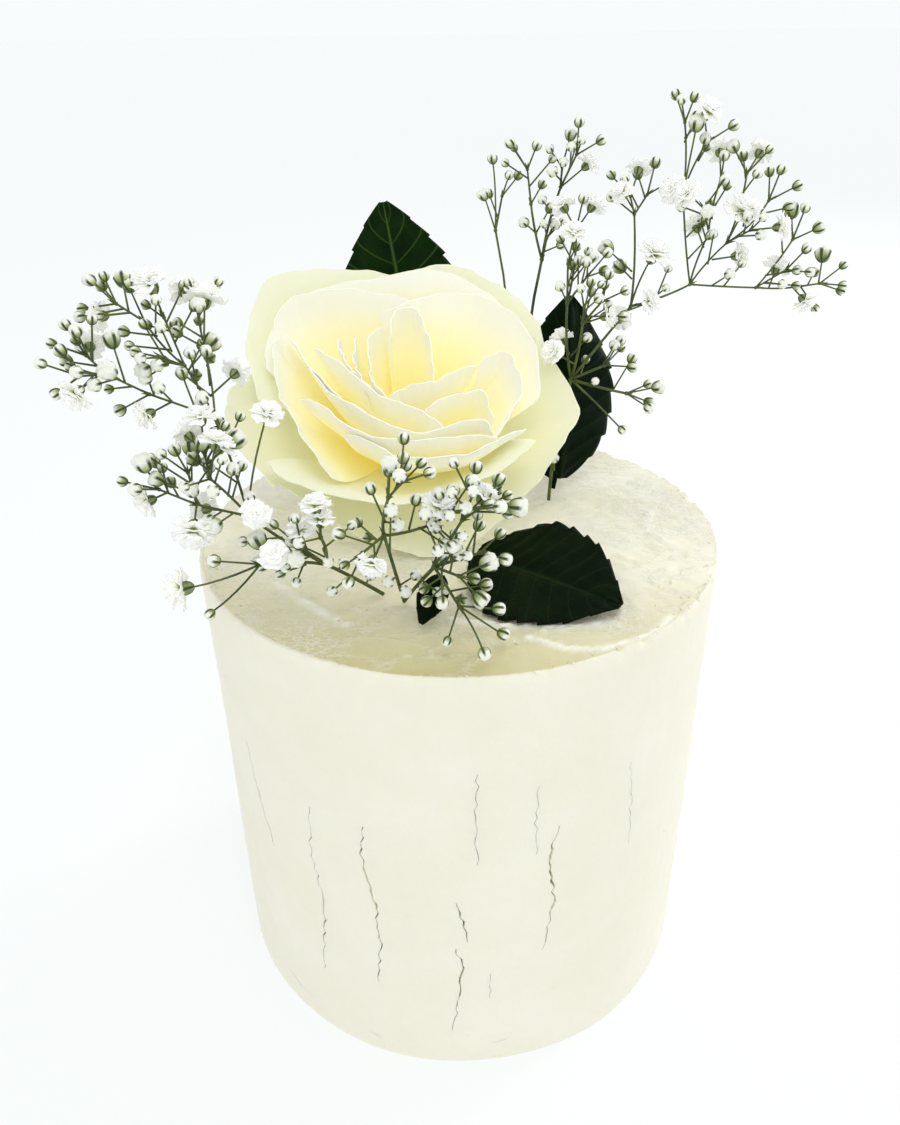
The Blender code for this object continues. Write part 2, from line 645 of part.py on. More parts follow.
def build_sprig(name, root, thick, stems, seed):
    green = finish(name, (0.16, 0.20, 0.07), 0.6)
    branches, twigs = sprig_plan(root, thick, stems, seed)
    pieces = []
    for path, radii in branches:
        points, faces = tube(path, radii, 3)
        pieces.append(add_mesh(f"{name}_stem_{len(pieces)}", points, faces, green))
        points, faces = knot(path[-1], radii[-1] + KNOT_SWELL)
        pieces.append(add_mesh(f"{name}_knot_{len(pieces)}", points, faces, green))
    for kind, path, radii, facing in twigs:
        bloom, widths, sides = flower_profile(kind, path[-1], facing)
        points, faces = tube([*path[:-1], *bloom], [*radii, *widths], sides)
        pieces.append(add_mesh(f"{name}_flower_{len(pieces)}", points, faces, green))
    return fuse(name, pieces, "MANIFOLD", share=SPRIG_SHARE)


def main():
    clear_scene()
    build_cake()
    build_rose()
    build_rose_stem()
    for name, shape in LEAVES.items():
        build_leaf(name, *shape)
    for number, (name, shape) in enumerate(SPRIGS.items()):
        build_sprig(name, *shape, SEED + number)


main()
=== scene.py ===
# %% [markdown]
# # A small iced cake with fresh flowers
# The solids of the cake, the rose, the leaves and the sprigs come from the
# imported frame. This lesson dresses them: icing with cracks and spatula marks,
# thin petals, veined leaves and the fine heads of baby's breath.
# %% Load the frame
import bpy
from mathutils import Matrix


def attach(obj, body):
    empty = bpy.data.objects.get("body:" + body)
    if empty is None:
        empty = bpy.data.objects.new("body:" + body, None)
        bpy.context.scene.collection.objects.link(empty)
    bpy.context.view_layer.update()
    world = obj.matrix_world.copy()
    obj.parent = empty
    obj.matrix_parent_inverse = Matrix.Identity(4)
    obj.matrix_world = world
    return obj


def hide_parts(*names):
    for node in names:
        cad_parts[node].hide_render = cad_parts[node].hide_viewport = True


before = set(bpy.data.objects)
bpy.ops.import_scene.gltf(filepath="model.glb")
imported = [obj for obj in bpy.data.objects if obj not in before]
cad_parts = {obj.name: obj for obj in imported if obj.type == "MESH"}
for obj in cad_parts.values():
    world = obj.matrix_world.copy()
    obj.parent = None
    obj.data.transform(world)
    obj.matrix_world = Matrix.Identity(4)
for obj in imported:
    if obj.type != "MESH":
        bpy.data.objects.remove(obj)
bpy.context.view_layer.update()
print("nodes:", sorted(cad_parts))

# %% [markdown]
# ## Helpers
# Every new piece starts as a primitive made by an operator. The few helpers
# below keep the selection clean, apply modifiers and join copies, so that each
# finished object sits at the origin with its place in its mesh.
# %% Helpers
import math
import random

import bmesh
import bpy
from mathutils import Matrix, Vector, noise

MM = 0.001
SEED = 11
GAP = 0.3
UPRIGHT = 0.1


def deselect():
    if bpy.context.mode != "OBJECT":
        bpy.ops.object.mode_set(mode="OBJECT")
    bpy.ops.object.select_all(action="DESELECT")


def pick(things):
    """Select the given objects alone, with the first one active."""
    deselect()
    for thing in things:
        thing.select_set(True)
    bpy.context.view_layer.objects.active = things[0]


def added(name):
    """The object that an operator has just added, under its own name."""
    thing = bpy.context.object
    thing.name = name
    thing.data.name = name
    return thing


def apply_modifiers(thing):
    pick([thing])
    for modifier in list(thing.modifiers):
        bpy.ops.object.modifier_apply(modifier=modifier.name)


def settle(thing):
    """Move the object's place into its mesh."""
    pick([thing])
    bpy.ops.object.transform_apply(location=True, rotation=True, scale=True)


def cut_rows(cylinder, rows):
    """Cut a cylinder's upright edges into rows, and stay in edit mode."""
    bpy.ops.object.mode_set(mode="EDIT")
    shape = bmesh.from_edit_mesh(cylinder.data)
    for edge in shape.edges:
        edge.select = abs(edge.verts[0].co.z - edge.verts[1].co.z) > UPRIGHT
    bmesh.update_edit_mesh(cylinder.data)
    bpy.ops.mesh.subdivide(number_cuts=rows - 1)


def joined(name, things):
    pick(things)
    if len(things) > 1:
        bpy.ops.object.join()
    thing = added(name)
    settle(thing)
    return thing


def dress(thing, material, slot, replaces=None):
    """Give a finished piece its material and its body, and hide the node that it replaces."""
    thing.data.materials.clear()
    thing.data.materials.append(material)
    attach(thing, "root")
    if replaces:
        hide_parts(replaces)
    thing.data.calc_loop_triangles()
    print(thing.name, len(thing.data.loop_triangles), "triangles")


# %% [markdown]
# ## Camera
# The picture is taken from just above the flowers, looking down by about
# thirty degrees with a wide lens. Its place was worked out from the ellipse of
# the cake's top and the way the sides draw together.
# %% Camera
CAMERA_PLACE = (0.0, -264.2, 290.9)
CAMERA_PITCH = 29.78
CAMERA_YAW = -0.594
CAMERA_ROLL = -0.928
FOCAL_PIXELS = 943.84
PICTURE_HEIGHT = 1125
SENSOR = 36.0

camera_data = bpy.data.cameras.new("camera")
camera_data.sensor_fit = "AUTO"
camera_data.sensor_width = SENSOR
camera_data.lens = FOCAL_PIXELS / PICTURE_HEIGHT * SENSOR
camera_data.clip_start = 0.01
camera = bpy.data.objects.new("camera", camera_data)
bpy.context.scene.collection.objects.link(camera)
turn = Matrix.Rotation(math.radians(-CAMERA_YAW), 4, "Z")
tip = Matrix.Rotation(math.radians(90.0 - CAMERA_PITCH), 4, "X")
roll = Matrix.Rotation(math.radians(CAMERA_ROLL), 4, "Z")
camera.matrix_world = Matrix.Translation(Vector(CAMERA_PLACE) * MM) @ turn @ tip @ roll
bpy.context.scene.camera = camera
bpy.context.scene.view_settings.view_transform = "Standard"
print("lens", round(camera_data.lens, 2), "mm")

# %% [markdown]
# ## Light
# The cake stands in a bright white room, so most light comes evenly from all
# sides. A sky that is brightest at the horizon lights the side of the cake
# more than its top, and three large soft lamps add a faint direction.
# %% World and lamps
HORIZON = (0.95, 0.975, 0.975)
ZENITH = (0.80, 0.80, 0.80)
# Each lamp: its place, the point it is aimed at, its size and its power
LAMPS = {
    "window_light": ((0.1, -0.55, 1.15), (0.0, 0.0, 0.18), 0.5, 2.2),
    "right_light": ((1.1, 0.75, 0.62), (0.02, 0.02, 0.16), 0.5, 5.0),
    "ceiling_light": ((0.1, 0.1, 1.35), (0.0, 0.0, 0.16), 0.8, 0.8),
}

world = bpy.data.worlds.new("studio")
bpy.context.scene.world = world
world.use_nodes = True
sky = world.node_tree
coords = sky.nodes.new("ShaderNodeTexCoord")
split = sky.nodes.new("ShaderNodeSeparateXYZ")
ramp = sky.nodes.new("ShaderNodeValToRGB")
ramp.color_ramp.elements[0].position = 0.05
ramp.color_ramp.elements[0].color = (*HORIZON, 1.0)
ramp.color_ramp.elements[1].position = 0.75
ramp.color_ramp.elements[1].color = (*ZENITH, 1.0)
sky.links.new(coords.outputs["Generated"], split.inputs["Vector"])
sky.links.new(split.outputs["Z"], ramp.inputs["Fac"])
sky.links.new(ramp.outputs["Color"], sky.nodes["Background"].inputs["Color"])
sky.nodes["Background"].inputs["Strength"].default_value = 1.0


def soft_lamp(name, place, aim, size, power):
    data = bpy.data.lights.new(name, "AREA")
    data.shape = "DISK"
    data.size = size
    data.energy = power
    lamp = bpy.data.objects.new(name, data)
    bpy.context.scene.collection.objects.link(lamp)
    lamp.location = place
    lamp.rotation_euler = (Vector(aim) - Vector(place)).to_track_quat("-Z", "Y").to_euler()


for name, lamp_plan in LAMPS.items():
    soft_lamp(name, *lamp_plan)

# %% [markdown]
# A pale sheet of paper lies under the cake and runs far behind it. Its own
# faint glow keeps it white to the horizon, with only a soft shadow.
# %% Floor
FLOOR_SIZE = 60.0
PAPER = (0.36, 0.37, 0.37, 1.0)
PAPER_GLOW = (0.97, 1.0, 1.0, 1.0)

deselect()
bpy.ops.mesh.primitive_plane_add(size=FLOOR_SIZE)
floor = added("floor")
paper = bpy.data.materials.new("paper")
paper.use_nodes = True
paper_shader = paper.node_tree.nodes["Principled BSDF"]
paper_shader.inputs["Base Color"].default_value = PAPER
paper_shader.inputs["Roughness"].default_value = 0.9
paper_shader.inputs["Emission Color"].default_value = PAPER_GLOW
paper_shader.inputs["Emission Strength"].default_value = 0.60
floor.data.materials.append(paper)

# %% [markdown]
# ## Materials
# Each finish is a small graph of nodes on a Principled shader. Painted maps
# would need their own files, so every colour follows a rule in space instead.
# One small class makes the nodes, and the recipes below read like sums.
# %% Material helpers


class Finish:
    """A named material, with short calls for the nodes of its graph."""

    def __init__(self, name, settings):
        self.material = bpy.data.materials.new(name)
        self.material.use_nodes = True
        self.tree = self.material.node_tree
        self.shader = self.tree.nodes["Principled BSDF"]
        for socket, value in settings.items():
            self.shader.inputs[socket].default_value = value

    def feed(self, value, socket):
        """Link an output to a socket, or write a plain value on the socket itself."""
        if isinstance(value, bpy.types.NodeSocket):
            self.tree.links.new(value, socket)
        elif socket.type == "RGBA":
            socket.default_value = (*value, 1.0)
        else:
            socket.default_value = value

    def shade(self, socket, value):
        self.feed(value, self.shader.inputs[socket])

    def node(self, kind, output, inputs, **settings):
        made = self.tree.nodes.new(kind)
        for key, value in settings.items():
            setattr(made, key, value)
        for socket, value in inputs.items():
            self.feed(value, made.inputs[socket])
        return made.outputs[output]

    def parts(self, kind, value):
        """The outputs of a node that takes a vector or a colour apart."""
        made = self.tree.nodes.new(kind)
        self.feed(value, made.inputs[0])
        return made.outputs

    def tint(self):
        """The three values of the piece's own colour layer."""
        return self.parts("ShaderNodeSeparateColor",
                          self.node("ShaderNodeAttribute", "Color", {}, attribute_name="tint"))

    def grid_map(self):
        """The place on the grid that a petal or a leaf was made from."""
        return self.parts("ShaderNodeSeparateXYZ", self.node("ShaderNodeTexCoord", "UV", {}))

    def place(self, source="Object", scale=(1, 1, 1)):
        coords = self.node("ShaderNodeTexCoord", source, {})
        return self.node("ShaderNodeMapping", "Vector", {"Vector": coords, "Scale": scale})

    def noise(self, vector, scale, detail=4.0, rough=0.5):
        inputs = {"Vector": vector, "Scale": scale, "Detail": detail, "Roughness": rough}
        return self.node("ShaderNodeTexNoise", "Fac", inputs)

    def ramp(self, factor, stops):
        made = self.tree.nodes.new("ShaderNodeValToRGB")
        ends = made.color_ramp.elements
        while len(ends) < len(stops):
            ends.new(0.5)
        for element, (position, colour) in zip(ends, stops):
            element.position = position
            element.color = (*colour, 1.0)
        self.feed(factor, made.inputs["Fac"])
        return made.outputs["Color"]

    def mix(self, factor, first, second):
        return self.node("ShaderNodeMix", 2, {0: factor, 6: first, 7: second}, data_type="RGBA")

    def bump(self, height, strength, distance):
        inputs = {"Height": height, "Strength": strength, "Distance": distance}
        self.shade("Normal", self.node("ShaderNodeBump", "Normal", inputs))

    def maths(self, operation, first, second=0.5, clamp=False):
        inputs = {0: first, 1: second}
        return self.node("ShaderNodeMath", "Value", inputs, operation=operation, use_clamp=clamp)

    def plus(self, first, second, clamp=False):
        return self.maths("ADD", first, second, clamp)

    def minus(self, first, second, clamp=False):
        return self.maths("SUBTRACT", first, second, clamp)

    def times(self, first, second, clamp=False):
        return self.maths("MULTIPLY", first, second, clamp)

    def above(self, value, start, slope):
        """0 up to the start, then rising to 1."""
        return self.times(self.minus(value, start), slope, clamp=True)

    def below(self, value, end, slope):
        """1 well below the end, falling to 0 there."""
        return self.times(self.minus(end, value), slope, clamp=True)

    def near(self, value, middle, slope):
        """1 where the value is the middle, falling to 0 on both sides."""
        off = self.maths("ABSOLUTE", self.minus(value, middle))
        return self.minus(1.0, self.times(off, slope), clamp=True)

    def uneven(self, value, cloud, amount):
        """A value shifted here and there by a noise."""
        return self.plus(value, self.times(self.minus(cloud, 0.5), amount))


# %% [markdown]
# ## Icing
# The real icing is whipped cream cheese or buttercream, spread with a palette
# knife and left to dry in the cold until it cracked. The surface is matt and
# nearly white at the side, a little yellower on the top. On the top, painted
# shade darkens the front left, where the flowers shade it, and painted
# highlights lighten the ridges. The cracks and nicks are painted darker and
# yellower, as shade in their depth. The colour follows the place on the cake,
# and two scales of bump give the dry, slightly grainy skin.
# %% Icing material
CAKE_RADIUS = 80.0
CAKE_HEIGHT = 153.0
TOP_FROM = CAKE_HEIGHT - 2.2
RIM_INSIDE = 78.8
CRACK_INSIDE = CAKE_RADIUS - 1.0
# Each tone: its place on the blotch noise and its colour
SIDE_TONES = ((0.3, (0.87, 0.84, 0.70)), (0.6, (0.90, 0.87, 0.745)), (0.8, (0.92, 0.895, 0.79)))
# The top's tones come in a shaded copy and a lit copy: painted shade and painted light.
SHADED_TONES = ((0.3, (0.57, 0.52, 0.25)), (0.55, (0.65, 0.60, 0.32)), (0.8, (0.73, 0.69, 0.44)))
LIT_TONES = ((0.3, (0.90, 0.87, 0.67)), (0.55, (0.94, 0.92, 0.77)), (0.8, (0.955, 0.94, 0.82)))
# Painted highlights for the top's crests, threads and knife ridges
ICING_CREST_HIGHLIGHT = (0.90, 0.89, 0.76)
ICING_RIDGE_HIGHLIGHT = (0.95, 0.94, 0.84)
# Painted shade for the cracks, nicks and pits of the side
ICING_RECESS_SHADE = (0.62, 0.50, 0.27)


def icing_material():
    icing = Finish("icing", {"Roughness": 0.62, "Subsurface Weight": 0.15, "Subsurface Scale": 0.004,
                             "Subsurface Radius": (1.0, 0.8, 0.4)})
    spot = icing.place()
    x, y, z = icing.parts("ShaderNodeSeparateXYZ", spot)
    blotch = icing.noise(spot, 38.0, 5.0, 0.6)
    # Painted shade: the top darkens towards the front left, where the flowers shade it, and is lit towards
    # the back right.
    slant = icing.plus(icing.times(x, 0.12), y)
    painted_light_share = icing.plus(icing.times(slant, 18.0), 1.4, clamp=True)
    top = icing.mix(painted_light_share, icing.ramp(blotch, SHADED_TONES), icing.ramp(blotch, LIT_TONES))
    crest = icing.near(icing.noise(icing.place(scale=(0.6, 1.5, 1.0)), 70.0, 5.0, 0.62), 0.5, 22.0)
    thread = icing.near(icing.noise(icing.place(scale=(1.0, 1.7, 1.0)), 330.0, 3.0, 0.6), 0.5, 14.0)
    thread = icing.times(thread, icing.above(icing.noise(spot, 34.0, 2.0), 0.48, 9.0))
    pushed, raised, _ = icing.tint()
    # Painted highlights: the crests, the threads, the raised relief and the knife ridges are lightened.
    top = icing.mix(icing.times(crest, 0.3), top, ICING_CREST_HIGHLIGHT)
    top = icing.mix(icing.times(thread, 0.75), top, ICING_RIDGE_HIGHLIGHT)
    top = icing.mix(icing.times(icing.above(raised, 0.45, 1.8), 0.7), top, ICING_RIDGE_HIGHLIGHT)
    top = icing.mix(icing.times(pushed, 1.6, clamp=True), top, ICING_RIDGE_HIGHLIGHT)
    flat = icing.node("ShaderNodeCombineXYZ", "Vector", {"X": x, "Y": y})
    reach = icing.node("ShaderNodeVectorMath", "Value", {0: flat}, operation="LENGTH")
    on_top = icing.times(icing.above(z, TOP_FROM * MM, 1000.0), icing.below(reach, RIM_INSIDE * MM, 2500.0))
    colour = icing.mix(on_top, icing.ramp(blotch, SIDE_TONES), top)
    # Painted shade: icing set more than a millimetre in from the side, in cracks, nicks and pits, is
    # darkened and yellowed.
    inside = icing.below(reach, CRACK_INSIDE * MM, 900.0)
    deep = icing.times(inside, icing.minus(1.0, on_top), clamp=True)
    icing.shade("Base Color", icing.mix(deep, colour, ICING_RECESS_SHADE))
    knife = icing.noise(icing.place(scale=(1, 1, 0.12)), 150.0, 3.0, 0.5)
    grain = icing.noise(spot, 900.0, 3.0, 0.6)
    height = icing.plus(icing.times(knife, 0.6), icing.times(grain, 0.4))
    height = icing.plus(height, icing.times(icing.plus(crest, thread), on_top))
    icing.bump(height, 0.45, 0.0007)
    return icing.material


icing = icing_material()

# %% [markdown]
# ## The iced cake
# On the real cake the icing is a skin of about five millimetres. It could be
# sculpted by hand, but a turned form with a rule for its relief repeats
# exactly. A cylinder is cut into fine rows by inset and subdivide, and each
# vertex is then moved by soft waves, knife ridges and a crumbling rim.
# %% Cake blank
CAKE_SIDES = 448
CAKE_ROWS = 80
TOP_INSETS = 52
SIDE_WAVE = 0.7
TOP_WAVE = 0.9


def side_radius(turn, height):
    spot = Vector((math.cos(turn) * 1.6, math.sin(turn) * 1.6, height / 60.0))
    return CAKE_RADIUS - 0.3 + SIDE_WAVE * noise.noise(spot)


def top_height(x, y):
    coarse = noise.noise(Vector((x / 26.0, y / 26.0, 4.0)))
    fine = noise.noise(Vector((x / 9.0, y / 9.0, 9.0)))
    return CAKE_HEIGHT - TOP_WAVE * (0.5 + 0.5 * coarse) * (0.7 + 0.3 * fine)


def cake_blank():
    deselect()
    bpy.ops.mesh.primitive_cylinder_add(vertices=CAKE_SIDES, radius=CAKE_RADIUS * MM,
                                        depth=CAKE_HEIGHT * MM, location=(0, 0, 0.5 * CAKE_HEIGHT * MM))
    cake = added("cake_icing")
    settle(cake)
    cut_rows(cake, CAKE_ROWS)
    bpy.ops.mesh.select_all(action="DESELECT")
    bpy.ops.mesh.select_mode(type="FACE")
    shape = bmesh.from_edit_mesh(cake.data)
    for face in shape.faces:
        face.select = face.normal.z > 0.9
    bmesh.update_edit_mesh(cake.data)
    step = CAKE_RADIUS * MM / (TOP_INSETS + 1)
    for _ in range(TOP_INSETS):
        bpy.ops.mesh.inset(thickness=step, use_even_offset=False)
    bpy.ops.mesh.poke()
    bpy.ops.object.mode_set(mode="OBJECT")
    return cake


cake = cake_blank()
print("cake blank:", len(cake.data.vertices), "vertices")

# %% [markdown]
# The relief is a sum of simple waves. On the side it is nearly smooth, with
# faint upright drags and small pits. On the top the knife left long thin
# ridges, which a noise folded at its zero line gives. The rim is where side
# and top skins meet, and it breaks into small nicks.
# %% Cake relief
RIM_DEPTH = 2.6
OUTER_RING = 0.999
RIM_RINGS = 0.97
# Each ridge: the points of its line on the top, right and back from the middle
KNIFE_RIDGES = {
    "front": ((18, -62), (27, -67), (36, -67.5), (49, -62), (57, -53)),
    "by_leaf": ((-2, -53), (11, -56), (27, -57), (40, -55)),
    "left": ((-52, -33), (-43, -43), (-30, -55)),
    "right": ((66, -14), (58, -4), (62, 10)),
}
KNIFE_WIDTH = 1.8
KNIFE_LIFT = 1.1


def fold(x, y, z, sharp):
    """Thin ridges along the zero line of a noise."""
    return max(1.0 - abs(noise.noise(Vector((x, y, z)))) * sharp, 0.0)


def side_relief(turn, height):
    x = math.cos(turn)
    y = math.sin(turn)
    drag = noise.noise(Vector((34 * x, 34 * y, height / 46.0)))
    dent = noise.noise(Vector((9 * x, 9 * y, height / 9.0)))
    pit = max(noise.noise(Vector((21 * x + 7, 21 * y, height / 3.6))) - 0.62, 0.0)
    lip = fold(11 * x, 11 * y, height / 20.0 + 3.0, 16.0)
    return 0.11 * drag + 0.14 * dent - 2.4 * pit + 0.12 * lip


def knife_line(x, y, line):
    """1 on a ridge that the knife pushed up, falling to 0 beside it, broken by a noise."""
    spot = Vector((x, y))
    nearest = KNIFE_WIDTH
    for a, b in zip(line, line[1:]):
        start = Vector(a)
        along = Vector(b) - start
        share = min(max((spot - start).dot(along) / along.length_squared, 0.0), 1.0)
        nearest = min(nearest, (spot - start - along * share).length)
    broken = 0.75 + 0.6 * noise.noise(Vector((x / 3.0, y / 3.0, 6.0)))
    return (1.0 - nearest / KNIFE_WIDTH) * broken


def top_relief(x, y):
    bend = 9.0 * noise.noise(Vector((x / 40.0, y / 40.0, 7.0)))
    ridge = fold((x + bend) / 17.0, (y - 0.6 * bend) / 7.0, 1.0, 9.0)
    wrinkle = fold((x - 0.4 * bend) / 6.0, (y + bend) / 4.0, 5.0, 5.0)
    rough = noise.noise(Vector((x / 2.6, y / 2.6, 2.0)))
    share = 0.5 + 0.5 * noise.noise(Vector((x / 22.0, y / 22.0, 12.0)))
    pushed = max(knife_line(x, y, line) for line in KNIFE_RIDGES.values())
    return 0.8 * ridge * share + 0.55 * wrinkle * (1.0 - share) + 0.3 * rough - 0.6, pushed


def rim_nick(turn):
    """How far the rim has crumbled: small everywhere, deep here and there."""
    x = math.cos(turn)
    y = math.sin(turn)
    fine = abs(noise.noise(Vector((46 * x, 46 * y, 0.0))))
    chip = max(noise.noise(Vector((24 * x, 24 * y, 4.0))) - 0.18, 0.0)
    return 1.1 * fine + 3.0 * chip


def shape_cake(cake):
    """Move every vertex, and keep the top's relief in the colour layer."""
    tint = cake.data.color_attributes.new("tint", "FLOAT_COLOR", "POINT")
    for vert, item in zip(cake.data.vertices, tint.data):
        x, y, z = (value / MM for value in vert.co)
        reach = math.hypot(x, y)
        turn = math.atan2(y, x)
        if z < CAKE_HEIGHT - 0.01:
            radius = side_radius(turn, z)
            if z > 0.01:
                radius += side_relief(turn, z)
            near = max(1.0 - (CAKE_HEIGHT - z) / RIM_DEPTH, 0.0)
            radius -= 0.5 * rim_nick(turn) * near
            reach = radius
        else:
            share = reach / CAKE_RADIUS
            relief, pushed = top_relief(x, y)
            z = top_height(x, y) + (relief + KNIFE_LIFT * pushed) * min(8.0 * (1.0 - share) + 0.15, 1.0)
            z = min(z, CAKE_HEIGHT + 0.15)
            # The knife ridges and the relief kept here set the icing's painted highlights.
            item.color = (pushed, 0.5 + 0.5 * relief, 0.0, 1.0)
            if share > OUTER_RING:
                reach = side_radius(turn, CAKE_HEIGHT) - 0.35 - 0.9 * rim_nick(turn)
                z = CAKE_HEIGHT - 0.1 - 0.8 * rim_nick(turn)
            elif share > RIM_RINGS:
                reach -= 0.7 * rim_nick(turn)
        vert.co = Vector((reach * math.cos(turn), reach * math.sin(turn), z)) * MM


shape_cake(cake)

# %% [markdown]
# ## Cracks
# The cracks run down the side where the drying skin shrank. Each is cut by a
# jagged wedge with a Boolean modifier: a handful of points give its course,
# and a rule breaks the course into short uneven steps. Cutting gives real
# depth and sharp lips, which a bump would not.
# %% Cracks
# Each crack: its points as degrees round the cake, height and width
CRACKS = {
    "left_edge": [(-143, 107, 0.5), (-141, 90, 1.6), (-138, 76, 2.2), (-137, 70, 0.7)],
    "left": [(-123, 99, 0.3), (-124, 80, 0.6), (-121.5, 61, 1.0), (-122.5, 45, 0.7), (-123.5, 29, 0.3)],
    "left_middle": [(-110, 99, 0.4), (-111, 88, 0.8), (-108.5, 69, 1.4), (-108, 50, 0.7), (-109, 34, 0.3)],
    "middle_upper": [(-91.5, 74, 0.3), (-90, 66, 0.8), (-89, 57, 0.3)],
    "middle_lower": [(-91.5, 54, 0.4), (-90, 45, 1.1), (-91, 30, 0.7), (-92.5, 15, 0.3)],
    "right_middle": [(-70.5, 99, 0.4), (-72, 88, 1.1), (-70.5, 69, 1.3), (-72.5, 49, 0.4)],
    "right": [(-53.5, 112, 0.2), (-52.5, 96, 0.35), (-52, 79, 0.2)],
    "hair_middle": [(-87, 122, 0.2), (-87.3, 105, 0.3), (-87, 89, 0.2)],
    "hair_right": [(-75, 116, 0.2), (-75.4, 102, 0.25), (-75, 90, 0.2)],
    "hair_low": [(-84, 42, 0.2), (-84.3, 36, 0.3), (-84, 30, 0.2)],
    "base_left": [(-137, 12, 0.6), (-133, 9, 2.0), (-129, 8, 0.6)],
    "base_middle": [(-113, 7.5, 0.5), (-111, 6.8, 1.4), (-109.5, 6, 0.5)],
    "base_right": [(-83.5, 8, 0.6), (-81.5, 8.5, 1.6), (-79.5, 9.5, 0.5)],
}
CRACK_STEP = 2.0
CRACK_DEPTH = 2.4
CRACK_OUTSIDE = 1.5
CRACK_JITTER = 0.42


def crack_course(path, draw):
    """The crack's points with uneven steps put between them."""
    course = []
    for (turn_a, high_a, wide_a), (turn_b, high_b, wide_b) in zip(path, path[1:]):
        length = math.hypot(high_b - high_a, math.radians(turn_b - turn_a) * CAKE_RADIUS)
        steps = max(int(length / CRACK_STEP), 1)
        for k in range(steps):
            share = k / steps
            jog = draw.uniform(-1, 1) * CRACK_JITTER
            width = (wide_a + (wide_b - wide_a) * share) * draw.uniform(0.45, 1.6)
            turn = turn_a + (turn_b - turn_a) * share + jog
            course.append((turn, high_a + (high_b - high_a) * share, width))
    course.append(path[-1])
    return course


def crack_cutter(name, path, draw):
    """A circle of three corners, extruded along the course and scaled to its width."""
    corners = []
    outside = CAKE_RADIUS + CRACK_OUTSIDE
    for degrees, height, width in crack_course(path, draw):
        for side, radius in ((-1, outside), (1, outside), (0, CAKE_RADIUS - CRACK_DEPTH)):
            angle = math.radians(degrees) + 0.5 * side * width / CAKE_RADIUS
            corners.append(Vector((radius * math.cos(angle), radius * math.sin(angle), height)) * MM)
    deselect()
    bpy.ops.mesh.primitive_circle_add(vertices=3, radius=MM, fill_type="NGON")
    cutter = added(name)
    bpy.ops.object.mode_set(mode="EDIT")
    bpy.ops.mesh.select_all(action="SELECT")
    for _ in range(len(corners) // 3 - 1):
        bpy.ops.mesh.extrude_region_move(TRANSFORM_OT_translate={"value": (0, 0, MM)})
    bpy.ops.object.mode_set(mode="OBJECT")
    rows = {}
    for vert in cutter.data.vertices:
        rows.setdefault(round(vert.co.z / MM), []).append(vert)
    for level, verts in rows.items():
        verts.sort(key=lambda vert: math.atan2(vert.co.y, vert.co.x))
        for vert, corner in zip(verts, corners[3 * level:3 * level + 3]):
            vert.co = corner
    bpy.ops.object.mode_set(mode="EDIT")
    bpy.ops.mesh.select_all(action="SELECT")
    bpy.ops.mesh.normals_make_consistent(inside=False)
    bpy.ops.object.mode_set(mode="OBJECT")
    return cutter


draw = random.Random(SEED)
cutters = [crack_cutter("crack_" + name, path, draw) for name, path in CRACKS.items()]
group = bpy.data.collections.new("crack_cutters")
bpy.context.scene.collection.children.link(group)
for cutter in cutters:
    for owner in list(cutter.users_collection):
        owner.objects.unlink(cutter)
    group.objects.link(cutter)
cut = cake.modifiers.new("cracks", "BOOLEAN")
cut.operation = "DIFFERENCE"
cut.operand_type = "COLLECTION"
cut.collection = group
cut.solver = "EXACT"
apply_modifiers(cake)
for cutter in cutters:
    bpy.data.objects.remove(cutter, do_unlink=True)
bpy.data.collections.remove(group)
pick([cake])
bpy.ops.object.shade_smooth_by_angle(angle=math.radians(40))
dress(cake, icing, "icing", "cake")

# %% [markdown]
# ## Rose petals
# A rose petal is a thin cup that leaves the hip at its foot and rolls back at
# its rim. Bending flat grids by hand would give each petal another form, but
# they would not nest. So each petal starts as a grid. Its rim is laid along a
# smooth line through a few points, a rule draws it in towards the foot, and
# solidify gives it the real thickness of less than half a millimetre.
# %% Petal plan
ROSE_RIM_CENTRE = (-19.0, 1.7, 202.4)
ROSE_TILT = 33.0
ROSE_HEIGHT = 38.0
PETAL_FOOT = 6.0
PETAL_THICK = 0.3
CORNER = 0.10
